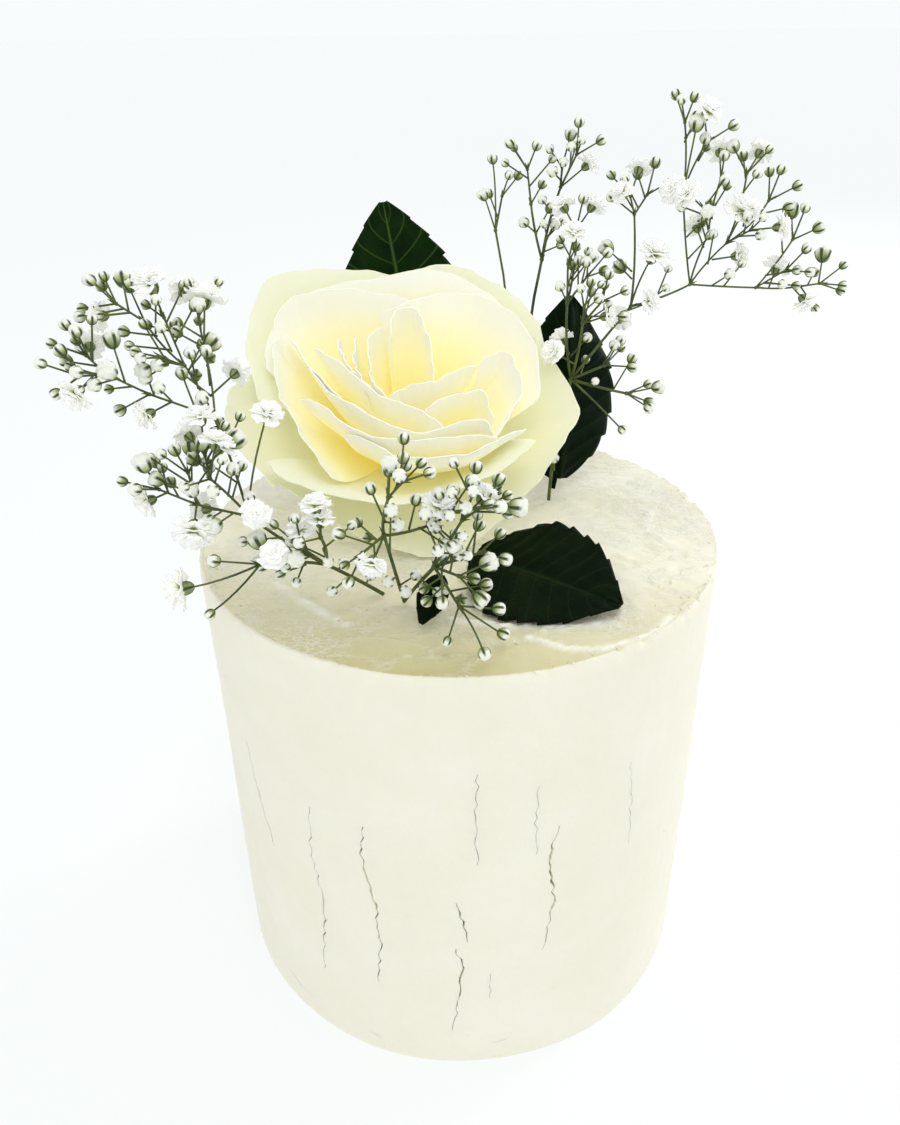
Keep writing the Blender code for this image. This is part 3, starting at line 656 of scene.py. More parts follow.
# Each petal: how much its rim rolls back, and the points of its rim,
# each as right, back and up in the flower's own frame
PETALS = {
    "heart_back": (0.0, ((-2, 16, 37), (1, 23, 38), (7, 24, 38), (11, 15, 38), (12, 0, 36))),
    "heart_left": (0.0, ((-3, 21, 37.5), (-7, 14, 37), (-7, 4, 36), (-4, -3, 36), (0, -5, 34))),
    "fold_left": (0.3, ((-12, 18, 37), (-11, 7, 37), (-8, -2, 37), (-3, -6, 35))),
    "fold_outer": (0.3, ((-17, 17, 37.5), (-15, 9, 37.5), (-11, 1, 37), (-7, -4, 36))),
    "lip_front": (0.4, ((-1, -6, 35), (4, -3, 36), (14, -1, 36), (25, 7, 36))),
    "sweep_one": (0.6, ((-24, 13, 38), (-17, 5, 38), (-3, -7, 38), (8, -12, 37), (16, -18, 35))),
    "lip_right": (0.5, ((8, -11, 34), (14, -8, 35), (26, -4, 35), (30, -11, 33))),
    "sweep_two": (0.5, ((-28, 10, 37.5), (-16, -6, 37.5), (-8, -13, 37), (0, -16, 35))),
    "sweep_three": (0.9, ((-33, 18, 38), (-22, 0, 38), (-11, -11, 38), (7, -20, 37),
                          (25, -16, 37), (30, -18, 36))),
    "round_right": (1.2, ((26, 6, 37), (34, 7, 38.5), (38, -5, 38.5), (31, -18, 36))),
    "sweep_four": (0.8, ((-27, -6, 38), (-18, -13, 38), (-3, -22, 38), (14, -23, 37.5), (31, -19, 36.5))),
    "sweep_five": (0.9, ((-14, -18, 36), (3, -27, 36.5), (23, -27, 36.5), (39, -16, 36))),
    "side_left": (1.0, ((-36, 18, 37), (-33, -3, 37), (-28, -15, 36), (-17, -30, 33))),
    "front_roll": (5, ((-37, -24, 31), (-25, -34, 32), (-3, -40, 32), (15, -39, 32),
                       (33, -28, 32), (42, -18, 33))),
    "back_left": (2.0, ((-38, 6, 37), (-33, 26, 39), (-18, 32, 39), (6, 29, 39))),
    "back_right": (2.0, ((-4, 26, 38.5), (12, 29, 39), (28, 27, 39), (42, 13, 39), (43, -6, 36))),
    "back_middle": (3.5, ((-29, 33, 38), (-5, 37, 39), (18, 37, 39), (38, 23, 38))),
    "guard_back_left": (5.0, ((-40, -2, 32), (-45, 16, 34), (-41, 38, 35), (-18, 43, 36), (5, 42, 36))),
    "guard_back_right": (5.0, ((-6, 42, 36), (21, 43, 36), (37, 33, 34), (47, 18, 31))),
    "guard_right": (3.0, ((43, 24, 32), (55, -1, 25), (49, -16, 20), (36, -32, 14), (15, -48, 8))),
    "guard_left": (3.0, ((-42, 11, 30), (-49, 1, 29), (-48, -15, 26), (-35, -27, 22))),
    "guard_front": (2.0, ((-34, -27, 24), (-19, -36, 16), (0, -43, 11), (14, -48, 8))),
}
PETAL_ACROSS = 40
PETAL_ALONG = 26


def rose_matrix():
    tilt = Matrix.Rotation(math.radians(ROSE_TILT), 4, "X")
    base = Vector(ROSE_RIM_CENTRE) - ROSE_HEIGHT * (tilt @ Vector((0, 0, 1)))
    return Matrix.Translation(base) @ tilt


def rest_on_icing(spot, above):
    """Lift a point that would dip into the icing."""
    floor_height = CAKE_HEIGHT + GAP + above
    return Vector((spot.x, spot.y, max(spot.z, floor_height)))


def rim_point(rim, share):
    """A point of the smooth line through the rim's points, and its direction."""
    last = len(rim) - 1
    k = min(int(share * last), last - 1)
    t = share * last - k
    b = Vector(rim[k])
    c = Vector(rim[k + 1])
    a = Vector(rim[k - 1]) if k > 0 else b * 2 - c
    d = Vector(rim[k + 2]) if k + 2 <= last else c * 2 - b
    bend = a * 2 - b * 5 + c * 4 - d
    swing = b * 3 - a - c * 3 + d
    spot = 0.5 * (b * 2 + (c - a) * t + bend * t ** 2 + swing * t ** 3)
    slope = 0.5 * ((c - a) + bend * (2 * t) + swing * (3 * t ** 2))
    return spot, slope


def outward(slope):
    return Vector((slope.y, -slope.x, 0.0)).normalized()


def outer_side(rim):
    """Which side of the rim, 1 or -1, looks away from the flower's axis."""
    spot, slope = rim_point(rim, 0.5)
    return 1 if outward(slope).dot(spot) > 0 else -1


def petal_point(rim, side, rolled, u, v):
    """A point of a petal: u runs along its rim from -1 to 1, v from its foot to its rim."""
    edge, slope = rim_point(rim, 0.5 + 0.5 * u)
    flat = Vector((edge.x, edge.y, 0.0))
    out = outward(slope) * side
    crest = flat - out * rolled
    foot = flat.normalized() * min(PETAL_FOOT, 0.7 * flat.length)
    rise = v * (1.0 - CORNER * abs(u) ** 5)
    curl = max(v - 0.6, 0.0) / 0.4
    spot = foot.lerp(crest, 1.0 - (1.0 - rise) ** 2) + out * (rolled * curl ** 2)
    spot.z = (edge.z + 0.5 * rolled) * rise - 0.5 * rolled * curl ** 2
    return spot, out


# %% [markdown]
# The rim of a real petal is never still: it waves, and the waves die away
# towards the foot. Four sine waves of rising pace give that to each grid.
# %% Petals
# Each wave along the rim: its height, its pace and its share of the phase
RIM_WAVES = ((1.0, 4.3, 1.0), (0.6, 9.7, 2.3), (0.45, 19.0, 1.0), (0.25, 37.0, 2.0))


def make_petal(name, rolled, rim, draw):
    deselect()
    bpy.ops.mesh.primitive_grid_add(x_subdivisions=PETAL_ACROSS, y_subdivisions=PETAL_ALONG, size=2.0)
    piece = added("petal_" + name)
    place = rose_matrix()
    phase = draw.uniform(0, 6.28)
    size = 0.25 + 0.014 * Vector(rim[1]).length
    side = outer_side(rim)
    for vert in piece.data.vertices:
        u = vert.co.x
        v = 0.5 + 0.5 * vert.co.y
        spot, out = petal_point(rim, side, rolled, u, v)
        wave = sum(tall * math.sin(pace * u + share * phase) for tall, pace, share in RIM_WAVES)
        spot += out * (0.55 * size * wave * v ** 4)
        spot.z += 0.5 * size * math.sin(6.1 * u + 3.1 * phase) * v ** 3
        vert.co = rest_on_icing(place @ spot, PETAL_THICK) * MM
    tint = piece.data.color_attributes.new("tint", "FLOAT_COLOR", "POINT")
    outer = 1.0 if name.startswith("guard") or name == "front_roll" else 0.0
    value = (draw.random(), outer, 0.0, 1.0)
    for item in tint.data:
        item.color = value
    wall = piece.modifiers.new("thickness", "SOLIDIFY")
    wall.thickness = PETAL_THICK * MM
    wall.offset = 0.0
    apply_modifiers(piece)
    return piece


draw = random.Random(SEED + 50)
petals = [make_petal(name, rolled, rim, draw) for name, (rolled, rim) in PETALS.items()]
rose = joined("rose_petals", petals)
bpy.ops.object.shade_smooth_by_angle(angle=math.radians(60))

# %% [markdown]
# The petal's colour runs from a warm yellow at its foot to nearly white at
# its rim, and the outer petals keep a trace of green. The grid's own map
# tells the shader how far along the petal a point lies. Petals are so thin
# that light comes through them, which a faint glow stands for.
# %% Petal material
PETAL_TONES = ((0.15, (0.92, 0.84, 0.46)), (0.50, (0.95, 0.915, 0.66)), (0.88, (0.965, 0.965, 0.88)))
GLOW_TONES = ((0.2, (0.15, 0.122, 0.02)), (0.6, (0.14, 0.125, 0.05)), (0.95, (0.06, 0.06, 0.045)))
GUARD_COLOUR = (0.85, 0.865, 0.68)
GUARD_GLOW = (0.05, 0.05, 0.025)
GUARD_SHARE = 0.8


def petal_material():
    petal = Finish("petal", {"Roughness": 0.55, "Specular IOR Level": 0.2, "Emission Strength": 1.0,
                             "Subsurface Weight": 0.25, "Subsurface Scale": 0.0008,
                             "Subsurface Radius": (1.0, 0.85, 0.45)})
    _, along, _ = petal.grid_map()
    along = petal.uneven(along, petal.noise(petal.place(), 60.0, 3.0), 0.18)
    _, guard, _ = petal.tint()
    guard = petal.times(guard, GUARD_SHARE)
    petal.shade("Base Color", petal.mix(guard, petal.ramp(along, PETAL_TONES), GUARD_COLOUR))
    petal.shade("Emission Color", petal.mix(guard, petal.ramp(along, GLOW_TONES), GUARD_GLOW))
    petal.bump(petal.noise(petal.place("UV", (60, 3, 1)), 1.0, 3.0), 0.12, 0.0006)
    return petal.material


dress(rose, petal_material(), "petal", "rose")

# %% [markdown]
# ## Rose hip and sepals
# The green hip and its stalk are hidden from the front. The solid has the
# right form, so it keeps its mesh and only takes a mottled green finish.
# %% Rose stem


def green_material(name, dark, light, scale, roughness):
    green = Finish(name, {"Roughness": roughness})
    mottle = green.noise(green.place(), scale, 4.0, 0.6)
    green.shade("Base Color", green.ramp(mottle, ((0.3, dark), (0.7, light))))
    green.bump(mottle, 0.3, 0.0005)
    return green.material


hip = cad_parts["rose_stem"]
hip.data.materials.clear()
hip.data.materials.append(green_material("rose_green", (0.06, 0.11, 0.03), (0.14, 0.21, 0.06), 300.0, 0.5))

# %% [markdown]
# ## Leaves
# The rose's leaves are dark, glossy and toothed. Each is a flat grid, laid out
# along its midrib by the same rule as the solid, with more rows so that the
# teeth, the sunken midrib and the pillows between the side veins are real.
# %% Leaf plan
# Each leaf: foot, tip, the way its width runs, width, sag, cup and teeth
LEAVES = {
    "leaf_back": ((-14, 55, 184), (-23, 57, 241), (1.0, 0.1, 0.1), 40, 3, 4, 9),
    "leaf_right": ((34, 24, 158), (37, 42, 214), (1.0, 0.35, -0.1), 38, 3, 5, 8),
    "leaf_front": ((5, -26, 157), (43, -52, 155.6), (0.56, 0.83, 0.25), 41, -1, 1.2, 9),
    "leaf_left": ((-38, 28, 170), (-77, 14, 181), (0, 0.5, 0.87), 12, 1, 1, 6),
    "leaf_small": ((-4.5, -49, 164), (-10, -57.5, 154.2), (0.9, -0.2, -0.37), 8, -0.5, 0.5, 4),
}
LEAF_THICK = 0.6
LEAF_ACROSS = 24
LEAF_ALONG = 96
TOOTH_DEPTH = 0.085
VEIN_DEPTH = 0.55
VEIN_SLANT = 0.16
RIB_DEPTH = 0.8
VEINS = 9
PETIOLE_RADIUS = 0.9


def leaf_point(base, length, side, normal, width, sag, cup, rows, s, t):
    """A point of a blade: s runs from the foot to the tip, t across from -1 to 1."""
    outline = max(math.sin(math.pi * (0.02 + 0.97 * s) ** 0.85), 0.0) ** 0.8
    saw = (s * rows) % 1.0
    half = 0.5 * width * outline * (1.0 - TOOTH_DEPTH * saw * abs(t) ** 4 + 0.03 * abs(t) ** 4)
    lift = cup * abs(t) ** 1.5 * outline - 4.0 * sag * s * (1.0 - s)
    lift += 0.6 * math.sin(rows * s * 1.9 + 2.0 * t) * abs(t)
    vein = abs(math.sin(math.pi * VEINS * (s - VEIN_SLANT * abs(t)))) ** 0.5
    across = math.sin(math.pi * min(abs(t) * 1.05, 1.0))
    pillow = VEIN_DEPTH * (vein - 0.6) * across * min(6.0 * outline, 1.0)
    rib = -RIB_DEPTH * max(1.0 - abs(t) * 9.0, 0.0) * min(4.0 * outline, 1.0)
    share = width / 40.0
    return base + length * s + side * (half * t) + normal * (lift + (pillow + rib) * share)


# %% [markdown]
# The grid takes its place by that rule, solidify gives it a real thickness,
# and a thin stalk ties its foot to the icing.
# %% Leaves


def make_leaf(name, base, tip, sideways, width, sag, cup, rows):
    base = Vector(base)
    length = Vector(tip) - base
    normal = length.cross(Vector(sideways)).normalized()
    side = normal.cross(length).normalized()
    deselect()
    bpy.ops.mesh.primitive_grid_add(x_subdivisions=LEAF_ACROSS, y_subdivisions=LEAF_ALONG, size=2.0)
    blade = added(name + "_blade")
    for vert in blade.data.vertices:
        s = 0.5 + 0.5 * vert.co.y
        spot = leaf_point(base, length, side, normal, width, sag, cup, rows, s, vert.co.x)
        vert.co = rest_on_icing(spot, 0.5 * LEAF_THICK) * MM
    wall = blade.modifiers.new("thickness", "SOLIDIFY")
    wall.thickness = LEAF_THICK * MM
    wall.offset = 0.0
    apply_modifiers(blade)
    stalk = leaf_stalk(name, base, base + length * 0.08)
    leaf = joined(name + "_fine", [blade, stalk])
    bpy.ops.object.shade_smooth()
    return leaf


def leaf_stalk(name, base, top):
    """A thin cylinder bent down from the blade's foot to the icing."""
    foot = Vector((base.x - 2.0, base.y + 1.0, CAKE_HEIGHT + GAP + 0.5 * PETIOLE_RADIUS))
    middle = (top + foot) * 0.5 + Vector((0, 1.0, 0))
    stalk = unit_stem(name + "_stalk")
    bend_stem(stalk, (foot, middle, top), PETIOLE_RADIUS, 0.8 * PETIOLE_RADIUS)
    return stalk


# %% [markdown]
# A stem is a cylinder of a few rows, made once. Each copy is laid along its
# own bowed path and tapers towards its end, and this serves the leaf stalks
# and every stem of the sprigs.
# %% Stems
STEM_SIDES = 8
STEM_SHARE = 0.72
STEM_ROWS = 6


def stem_master():
    deselect()
    bpy.ops.mesh.primitive_cylinder_add(vertices=STEM_SIDES, radius=1.0, depth=1.0, location=(0, 0, 0.5))
    master = added("stem_master")
    settle(master)
    cut_rows(master, STEM_ROWS)
    bpy.ops.object.mode_set(mode="OBJECT")
    return master


master_stem = stem_master()


def copy_of(master, name):
    """A copy with a mesh of its own."""
    made = master.copy()
    made.data = master.data.copy()
    made.name = name
    bpy.context.scene.collection.objects.link(made)
    return made


def unit_stem(name):
    return copy_of(master_stem, name)


def bend_stem(stem, path, radius, end_radius):
    """Lay a unit stem along two or three points."""
    start = path[0]
    end = path[-1]
    middle = path[1] * 2.0 - (start + end) * 0.5 if len(path) == 3 else (start + end) * 0.5
    for vert in stem.data.vertices:
        s = vert.co.z
        spot = start * (1 - s) ** 2 + middle * (2 * s * (1 - s)) + end * s ** 2
        ahead = ((middle - start) * (1 - s) + (end - middle) * s).normalized()
        across = ahead.cross(Vector((0.31, 0.87, 0.38))).normalized()
        over = ahead.cross(across)
        size = radius + (end_radius - radius) * s
        vert.co = (spot + (across * vert.co.x + over * vert.co.y) * size) * MM


# %% [markdown]
# The leaf's finish is a near black green with a waxy gloss. The veins are a
# little paler. The back leaf takes a lit copy of the finish, painted greener
# with paler veins for the light that shines through it.
# %% Leaf material


def leaf_material(name, dark, light, vein_colour, through):
    leaf = Finish(name, {"Roughness": 0.34, "Specular IOR Level": 0.04, "Subsurface Weight": through,
                         "Subsurface Scale": 0.002, "Subsurface Radius": (0.5, 1.0, 0.2)})
    across, along, _ = leaf.grid_map()
    across = leaf.times(leaf.maths("ABSOLUTE", leaf.minus(across, 0.5)), 2.0)
    wave = leaf.maths("SINE", leaf.times(leaf.minus(along, leaf.times(across, VEIN_SLANT)), math.pi * VEINS))
    vein = leaf.maths("MAXIMUM", leaf.times(leaf.near(wave, 0.0, 5.0), 0.55), leaf.near(across, 0.0, 22.0))
    cells = leaf.node("ShaderNodeTexVoronoi", "Distance", {"Vector": leaf.place(), "Scale": 900.0},
                      feature="DISTANCE_TO_EDGE")
    mottle = leaf.noise(leaf.place(), 140.0, 4.0, 0.6)
    leaf.shade("Base Color", leaf.mix(vein, leaf.ramp(mottle, ((0.3, dark), (0.7, light))), vein_colour))
    leaf.bump(leaf.plus(leaf.times(cells, 0.7), mottle), 0.3, 0.0005)
    return leaf.material


dark_leaf = leaf_material("leaf", (0.001, 0.005, 0.001), (0.003, 0.011, 0.002), (0.010, 0.024, 0.006), 0.0)
# The back leaf's lit copy: painted light, greener with paler veins, for the light shining through it.
lit_leaf = leaf_material("leaf_lit", (0.002, 0.010, 0.001), (0.006, 0.024, 0.003), (0.05, 0.10, 0.02), 0.05)

for name, shape in LEAVES.items():
    leaf = make_leaf(name, *shape)
    dress(leaf, lit_leaf if name == "leaf_back" else dark_leaf, "leaf", name)

# %% [markdown]
# ## Baby's breath
# Each sprig branches again and again into thread-thin twigs. Some end in a
# double blossom of ruffled white petals, the rest in buds held by striped
# green sepals. The plan of forks is the solid's own, with the same draws, and
# here every bud is made.
# %% Sprig plan
# Each sprig: where it enters the icing, its thickness, and its stems. A stem
# says which fork it leaves, which fork it makes, where it ends and its flowers:
# b bud, c half-open bud, f blossom, F large blossom.
SPRIGS = {
    "sprig_left": ((-21, -41, 153.3), 0.85, (
        ("root", "knee", (-35, -48, 167), ""),
        ("knee", "crown", (-54, -47, 181), ""),
        ("crown", "waist", (-62, -36, 204), "b"),
        ("waist", "shoulder", (-70, -28, 215), "b"),
        ("shoulder", "", (-77, -20, 230), "bF"),
        ("shoulder", "bend", (-79, -26, 226), ""),
        ("bend", "", (-90, -24, 233), "bbbb"),
        ("bend", "", (-84, -18, 233), "c"),
        ("shoulder", "", (-77, -35, 221), "bb"),
        ("waist", "arm", (-77, -38, 211), "b"),
        ("arm", "elbow", (-86, -40, 217), "b"),
        ("elbow", "", (-94, -37, 224), "bbb"),
        ("elbow", "", (-95, -45, 218), "bb"),
        ("waist", "inner", (-66, -22, 218), "b"),
        ("inner", "", (-69, -13, 230), "fb"),
        ("inner", "", (-65, -17, 231), "F"),
        ("crown", "wing", (-66, -50, 186), ""),
        ("wing", "", (-79, -51, 193), "cbb"),
        ("wing", "", (-68, -48, 199), "bcb"),
        ("crown", "tangle", (-61, -52, 194), "bf"),
        ("tangle", "", (-64, -44, 201), "ffb"),
        ("crown", "", (-44, -56, 213), "f"),
        ("crown", "", (-49, -59, 188), "f"),
        ("wing", "", (-66, -57, 181), "F"),
        ("knee", "spur", (-50, -58, 173), ""),
        ("spur", "", (-71, -62, 168), "F"),
        ("spur", "", (-60, -63, 177), "b"),
        ("spur", "", (-62, -67, 164), "b"),
        ("knee", "", (-41, -59, 180), "cb"),
        ("knee", "", (-34, -60, 184), "fb"),
    )),
    "sprig_front": ((-15, -45, 153.3), 0.75, (
        ("root", "star", (-18, -62, 183), ""),
        ("star", "tall", (-16, -68, 196), ""),
        ("tall", "", (-15, -72, 206), "c"),
        ("tall", "", (-10, -73, 205), "bb"),
        ("star", "", (-27, -64, 176), "bb"),
        ("star", "", (-21, -69, 178), "f"),
        ("star", "side", (-6, -68, 189), "b"),
        ("side", "", (2, -70, 195), "bb"),
        ("side", "", (-4, -69, 195), "f"),
        ("root", "cross", (-6, -62, 174), ""),
        ("cross", "rise", (1, -68, 190), "f"),
        ("rise", "", (5, -69, 201), "bb"),
        ("rise", "", (10, -67, 196), "cb"),
        ("cross", "", (10, -63, 180), "bb"),
        ("cross", "", (4, -68, 173), "cc"),
        ("cross", "low", (0, -66, 165), ""),
        ("low", "", (10, -66, 164), "b"),
        ("low", "", (11, -69, 158.5), "b"),
        ("low", "", (6, -78, 159), "b"),
        ("low", "", (-3, -72, 158.5), "b"),
    )),
    "sprig_right": ((30, 17, 153.3), 0.85, (
        ("root", "fan", (36, 22, 193), ""),
        ("fan", "post", (34, 25, 216), "b"),
        ("post", "", (34, 29, 232), "fb"),
        ("post", "", (43, 29, 227), "bbb"),
        ("post", "", (37, 33, 241), "ffb"),
        ("fan", "prong", (38, 17, 212), "b"),
        ("prong", "", (38, 15, 221), "bb"),
        ("prong", "", (46, 14, 223), "bb"),
        ("prong", "", (46, 15, 215), "f"),
        ("fan", "", (51, 9, 181), "b"),
        ("fan", "", (57, 13, 190), "bbbc"),
        ("fan", "", (51, 23, 199), "bbb"),
        ("fan", "bough", (54, 28, 214), "b"),
        ("bough", "plume", (54, 34, 240), "b"),
        ("plume", "", (60, 36, 249), "bb"),
        ("plume", "", (52, 38, 248), "fb"),
        ("bough", "", (59, 22, 232), "F"),
        ("bough", "knuckle", (72, 30, 220), ""),
        ("knuckle", "mast", (68, 34, 246), ""),
        ("mast", "", (66, 34, 270), "bbb"),
        ("mast", "", (69, 30, 265), "c"),
        ("mast", "", (76, 37, 264), "bb"),
        ("mast", "", (63, 28, 248), "f"),
        ("knuckle", "crook", (76, 30, 235), "b"),
        ("crook", "", (71, 25, 247), "fb"),
        ("crook", "", (80, 37, 254), "fb"),
        ("knuckle", "crest", (82, 31, 232), ""),
        ("crest", "", (85, 27, 243), "F"),
        ("crest", "", (87, 34, 256), "fcb"),
        ("crest", "", (91, 25, 239), "bf"),
        ("crest", "", (97, 34, 247), "bbb"),
        ("knuckle", "reach", (92, 29, 219), ""),
        ("reach", "", (104, 30, 237), "bcc"),
        ("reach", "", (103, 24, 228), "bbb"),
        ("reach", "end", (106, 30, 219), "b"),
        ("end", "", (116, 31, 220), "bbb"),
    )),
    "sprig_middle": ((25, 48, 153.3), 0.8, (
        ("root", "split", (28, 49, 224), ""),
        ("split", "rod", (24, 49, 241), "b"),
        ("rod", "", (22, 50, 256), "bbb"),
        ("split", "", (30, 46, 236), "bb"),
        ("split", "sway", (33, 48, 246), ""),
        ("sway", "", (33, 46, 256), "cb"),
        ("sway", "", (39, 44, 260), "bbb"),
        ("sway", "", (42, 49, 253), "f"),
    )),
    "sprig_thin": ((16, 50, 153.3), 0.65, (
        ("root", "nape", (13, 50, 233), ""),
        ("nape", "", (9, 48, 244), "c"),
        ("nape", "", (12, 52, 254), "b"),
        ("nape", "", (16, 52, 248), "bb"),
    )),
}
TWIG_RADIUS = 0.4
BOWED_FROM = 14.0
TWIG_LENGTH = 6.0
CLUSTER_REACH = 5.0
FLOWER_RADII = {"b": 1.9, "c": 2.7, "f": 3.9, "F": 5.2}


def sprig_plan(root, thick, stems, seed):
    """Bare stems as (path, radii), flowering twigs as (kind, path, radii, facing)."""
    draw = random.Random(seed)
    forks = {"root": (Vector(root), thick)}
    branches = []
    twigs = []
    for leaves_from, makes, spot, kinds in stems:
        start, radius = forks[leaves_from]
        end = Vector(spot)
        if makes == "" and len(kinds) > 1:
            end = end.lerp(start, min(CLUSTER_REACH / (end - start).length, 0.4))
        span = end - start
        thin = max(radius * 0.8, TWIG_RADIUS)
        bow = Vector((draw.uniform(-1, 1), draw.uniform(-1, 1), draw.uniform(-1, 0.4)))
        middle = (start + end) * 0.5 + bow * (0.05 * span.length)
        way_points = (start, middle, end) if span.length > BOWED_FROM else (start, end)
        forks[makes] = (end, thin)
        ahead = (end - middle).normalized()
        if makes == "" and len(kinds) == 1:
            twigs.append((kinds, way_points, (thin, TWIG_RADIUS), ahead))
            continue
        branches.append((way_points, (radius * 0.95, thin)))
        side = ahead.cross(Vector((0.2, 0.9, 0.4))).normalized()
        turn = draw.uniform(0, 360)
        for n, kind in enumerate(kinds):
            swing = Matrix.Rotation(math.radians(turn + 137.5 * n), 3, ahead)
            lean = draw.uniform(0.45, 0.95) if makes == "" else 1.3
            way = (ahead + swing @ side * lean).normalized()
            reach = TWIG_LENGTH * draw.uniform(0.75, 1.35) + FLOWER_RADII[kind]
            twigs.append((kind, (end, end + way * reach), (TWIG_RADIUS, TWIG_RADIUS), way))
    return branches, twigs


# %% [markdown]
# A bud is a ball drawn out to a blunt tip. Its five sepals are ribs of the
# same surface. The height along the bud is kept as a colour layer, so that
# the shader can leave the tip white.
# %% Bud and half-open bud
BUD_SIDES = 20
BUD_RINGS = 10
SEPALS = 5


def flower_ball(name, moved, tinted):
    """A ball whose points are moved by one rule and tinted by another."""
    deselect()
    bpy.ops.mesh.primitive_uv_sphere_add(segments=BUD_SIDES, ring_count=BUD_RINGS, radius=1.0)
    made = added(name)
    tint = made.data.color_attributes.new("tint", "FLOAT_COLOR", "POINT")
    for vert, item in zip(made.data.vertices, tint.data):
        turn = math.atan2(vert.co.y, vert.co.x)
        vert.co = moved(vert.co, turn)
        item.color = (*tinted(vert.co, turn), 1.0)
    pick([made])
    bpy.ops.object.shade_smooth()
    return made


def bud_master(name, opening):
    """Opening 0 is a shut bud, 1 shows a tuft of folded petals at the tip."""
    def moved(spot, turn):
        high = spot.z
        rib = 1.0 + 0.07 * math.cos(SEPALS * turn) * (1.0 - abs(high))
        ruffle = 1.0 + 0.24 * opening * math.sin(7 * turn + 4 * high) * max(high, 0.0)
        wide = rib * ruffle * (0.92 + 0.10 * high + 0.25 * opening * max(high - 0.1, 0.0))
        tuft = 0.10 * opening * math.sin(SEPALS * turn) * max(high, 0.0)
        return Vector((spot.x * wide, spot.y * wide, high - 0.3 * max(high - 0.75, 0.0) + tuft))

    def tinted(spot, turn):
        return 0.5 + 0.45 * spot.z, 0.5 + 0.5 * math.cos(SEPALS * turn), opening

    return flower_ball(name, moved, tinted)


shut_bud = bud_master("shut_bud", 0.0)
open_bud = bud_master("open_bud", 1.0)

# %% [markdown]
# The double blossom is a rosette of small notched petals, each a bent grid.
# The outer ring lies nearly flat, the inner rings stand up and fold over the
# centre. Five rings give the dense ruffled head.
# %% Blossom
# Each ring: number of petals, their length, how far they open, and their lift
BLOSSOM_RINGS = (
    (8, 1.00, 78.0, 0.00),
    (8, 0.92, 58.0, 0.10),
    (7, 0.78, 40.0, 0.18),
    (6, 0.60, 24.0, 0.24),
    (4, 0.42, 10.0, 0.26),
)
FLORET_CELLS = 5
FLORET_THICK = 0.035


def floret(name, length, open_degrees, lift, azimuth, draw):
    """One petal: narrow foot, broad notched tip, cupped and a little twisted."""
    deselect()
    bpy.ops.mesh.primitive_grid_add(x_subdivisions=FLORET_CELLS, y_subdivisions=FLORET_CELLS, size=2.0)
    piece = added(name)
    tilt = math.radians(open_degrees + draw.uniform(-9, 9))
    curl = draw.uniform(-0.15, 0.45)
    twist = draw.uniform(-0.35, 0.35)
    round_axis = Matrix.Rotation(math.radians(azimuth), 3, "Z")
    tint = piece.data.color_attributes.new("tint", "FLOAT_COLOR", "POINT")
    for vert, item in zip(piece.data.vertices, tint.data):
        u = vert.co.x
        v = 0.5 + 0.5 * vert.co.y
        wide = length * (0.10 + 0.36 * v ** 0.8)
        along = length * v * (1.0 - 0.16 * v * (1.0 - abs(u)) ** 2 - 0.12 * u * u * v)
        bend = tilt + curl * v
        height = 0.12 * length * (u * u - 0.4) + 0.07 * length * math.sin(4 * u + 9 * twist) * v
        x = math.sin(bend) * along + math.cos(bend) * -height
        z = math.cos(bend) * along + math.sin(bend) * height + lift
        y = u * wide + twist * 0.3 * length * v * v
        vert.co = round_axis @ Vector((x, y, z))
        item.color = (v, 1.0 - lift * 3.0, draw.random(), 1.0)
    wall = piece.modifiers.new("thickness", "SOLIDIFY")
    wall.thickness = FLORET_THICK
    wall.offset = 0.0
    apply_modifiers(piece)
    return piece


def blossom_master(name, seed):
    draw = random.Random(seed)
    florets = []
    for ring, (count, length, degrees, lift) in enumerate(BLOSSOM_RINGS):
        for k in range(count):
            azimuth = 360.0 * (k + 0.5 * (ring % 2)) / count + draw.uniform(-10, 10)
            size = length * draw.uniform(0.9, 1.08)
            florets.append(floret(f"{name}_{ring}_{k}", size, degrees, lift, azimuth, draw))
    head = joined(name, florets)
    bpy.ops.object.shade_smooth()
    return head


blossoms = [blossom_master(f"blossom_{k}", SEED + 70 + k) for k in range(3)]

# %% [markdown]
# The calyx is the small green cup that holds the blossom. It is a ball with
# its top half pushed in and its rim drawn into five points.
# %% Calyx
CALYX_WIDTH = 0.36


def calyx_master():
    def moved(spot, turn):
        high = spot.z
        if high > 0:
            high = (0.25 + 0.12 * math.cos(SEPALS * turn)) * (1.0 - high)
        return Vector((spot.x * CALYX_WIDTH, spot.y * CALYX_WIDTH, 0.50 * high - 0.10))

    def tinted(_, turn):
        return 0.2, 0.5 + 0.5 * math.cos(SEPALS * turn), 0.0

    return flower_ball("calyx", moved, tinted)


calyx = calyx_master()


def set_at(master, name, centre, facing, size, spin):
    """A copy of a flower part with its axis turned along its facing."""
    made = copy_of(master, name)
    face = facing.to_track_quat("Z", "Y").to_matrix().to_4x4()
    made.data.transform(Matrix.Translation(centre * MM) @ face @ Matrix.Rotation(spin, 4, "Z")
                        @ Matrix.Diagonal((size * MM, size * MM, size * MM, 1.0)))
    return made


# %% [markdown]
# Two small pointed bracts sit at each fork, as on the real plant. Short side
# twigs fill the sprigs out, and none of them is let into the rose or the icing.
# %% Sprigs
BRACT_LENGTH = 2.6
BRACT_RADII = (0.42, 0.06)
BARE_FROM = 45.0
TWIG_CLEAR = 6.0
ROSE_MIDDLE = (-19.0, 10.0, 190.0)
ROSE_REACH = 47.0
SIDE_TWIGS = {"sprig_left": (4, "bbbbbbbbcf"), "sprig_front": (4, "b"), "sprig_right": (2, "bbbbbbbbcf"),
              "sprig_middle": (2, "b"), "sprig_thin": (1, "b")}


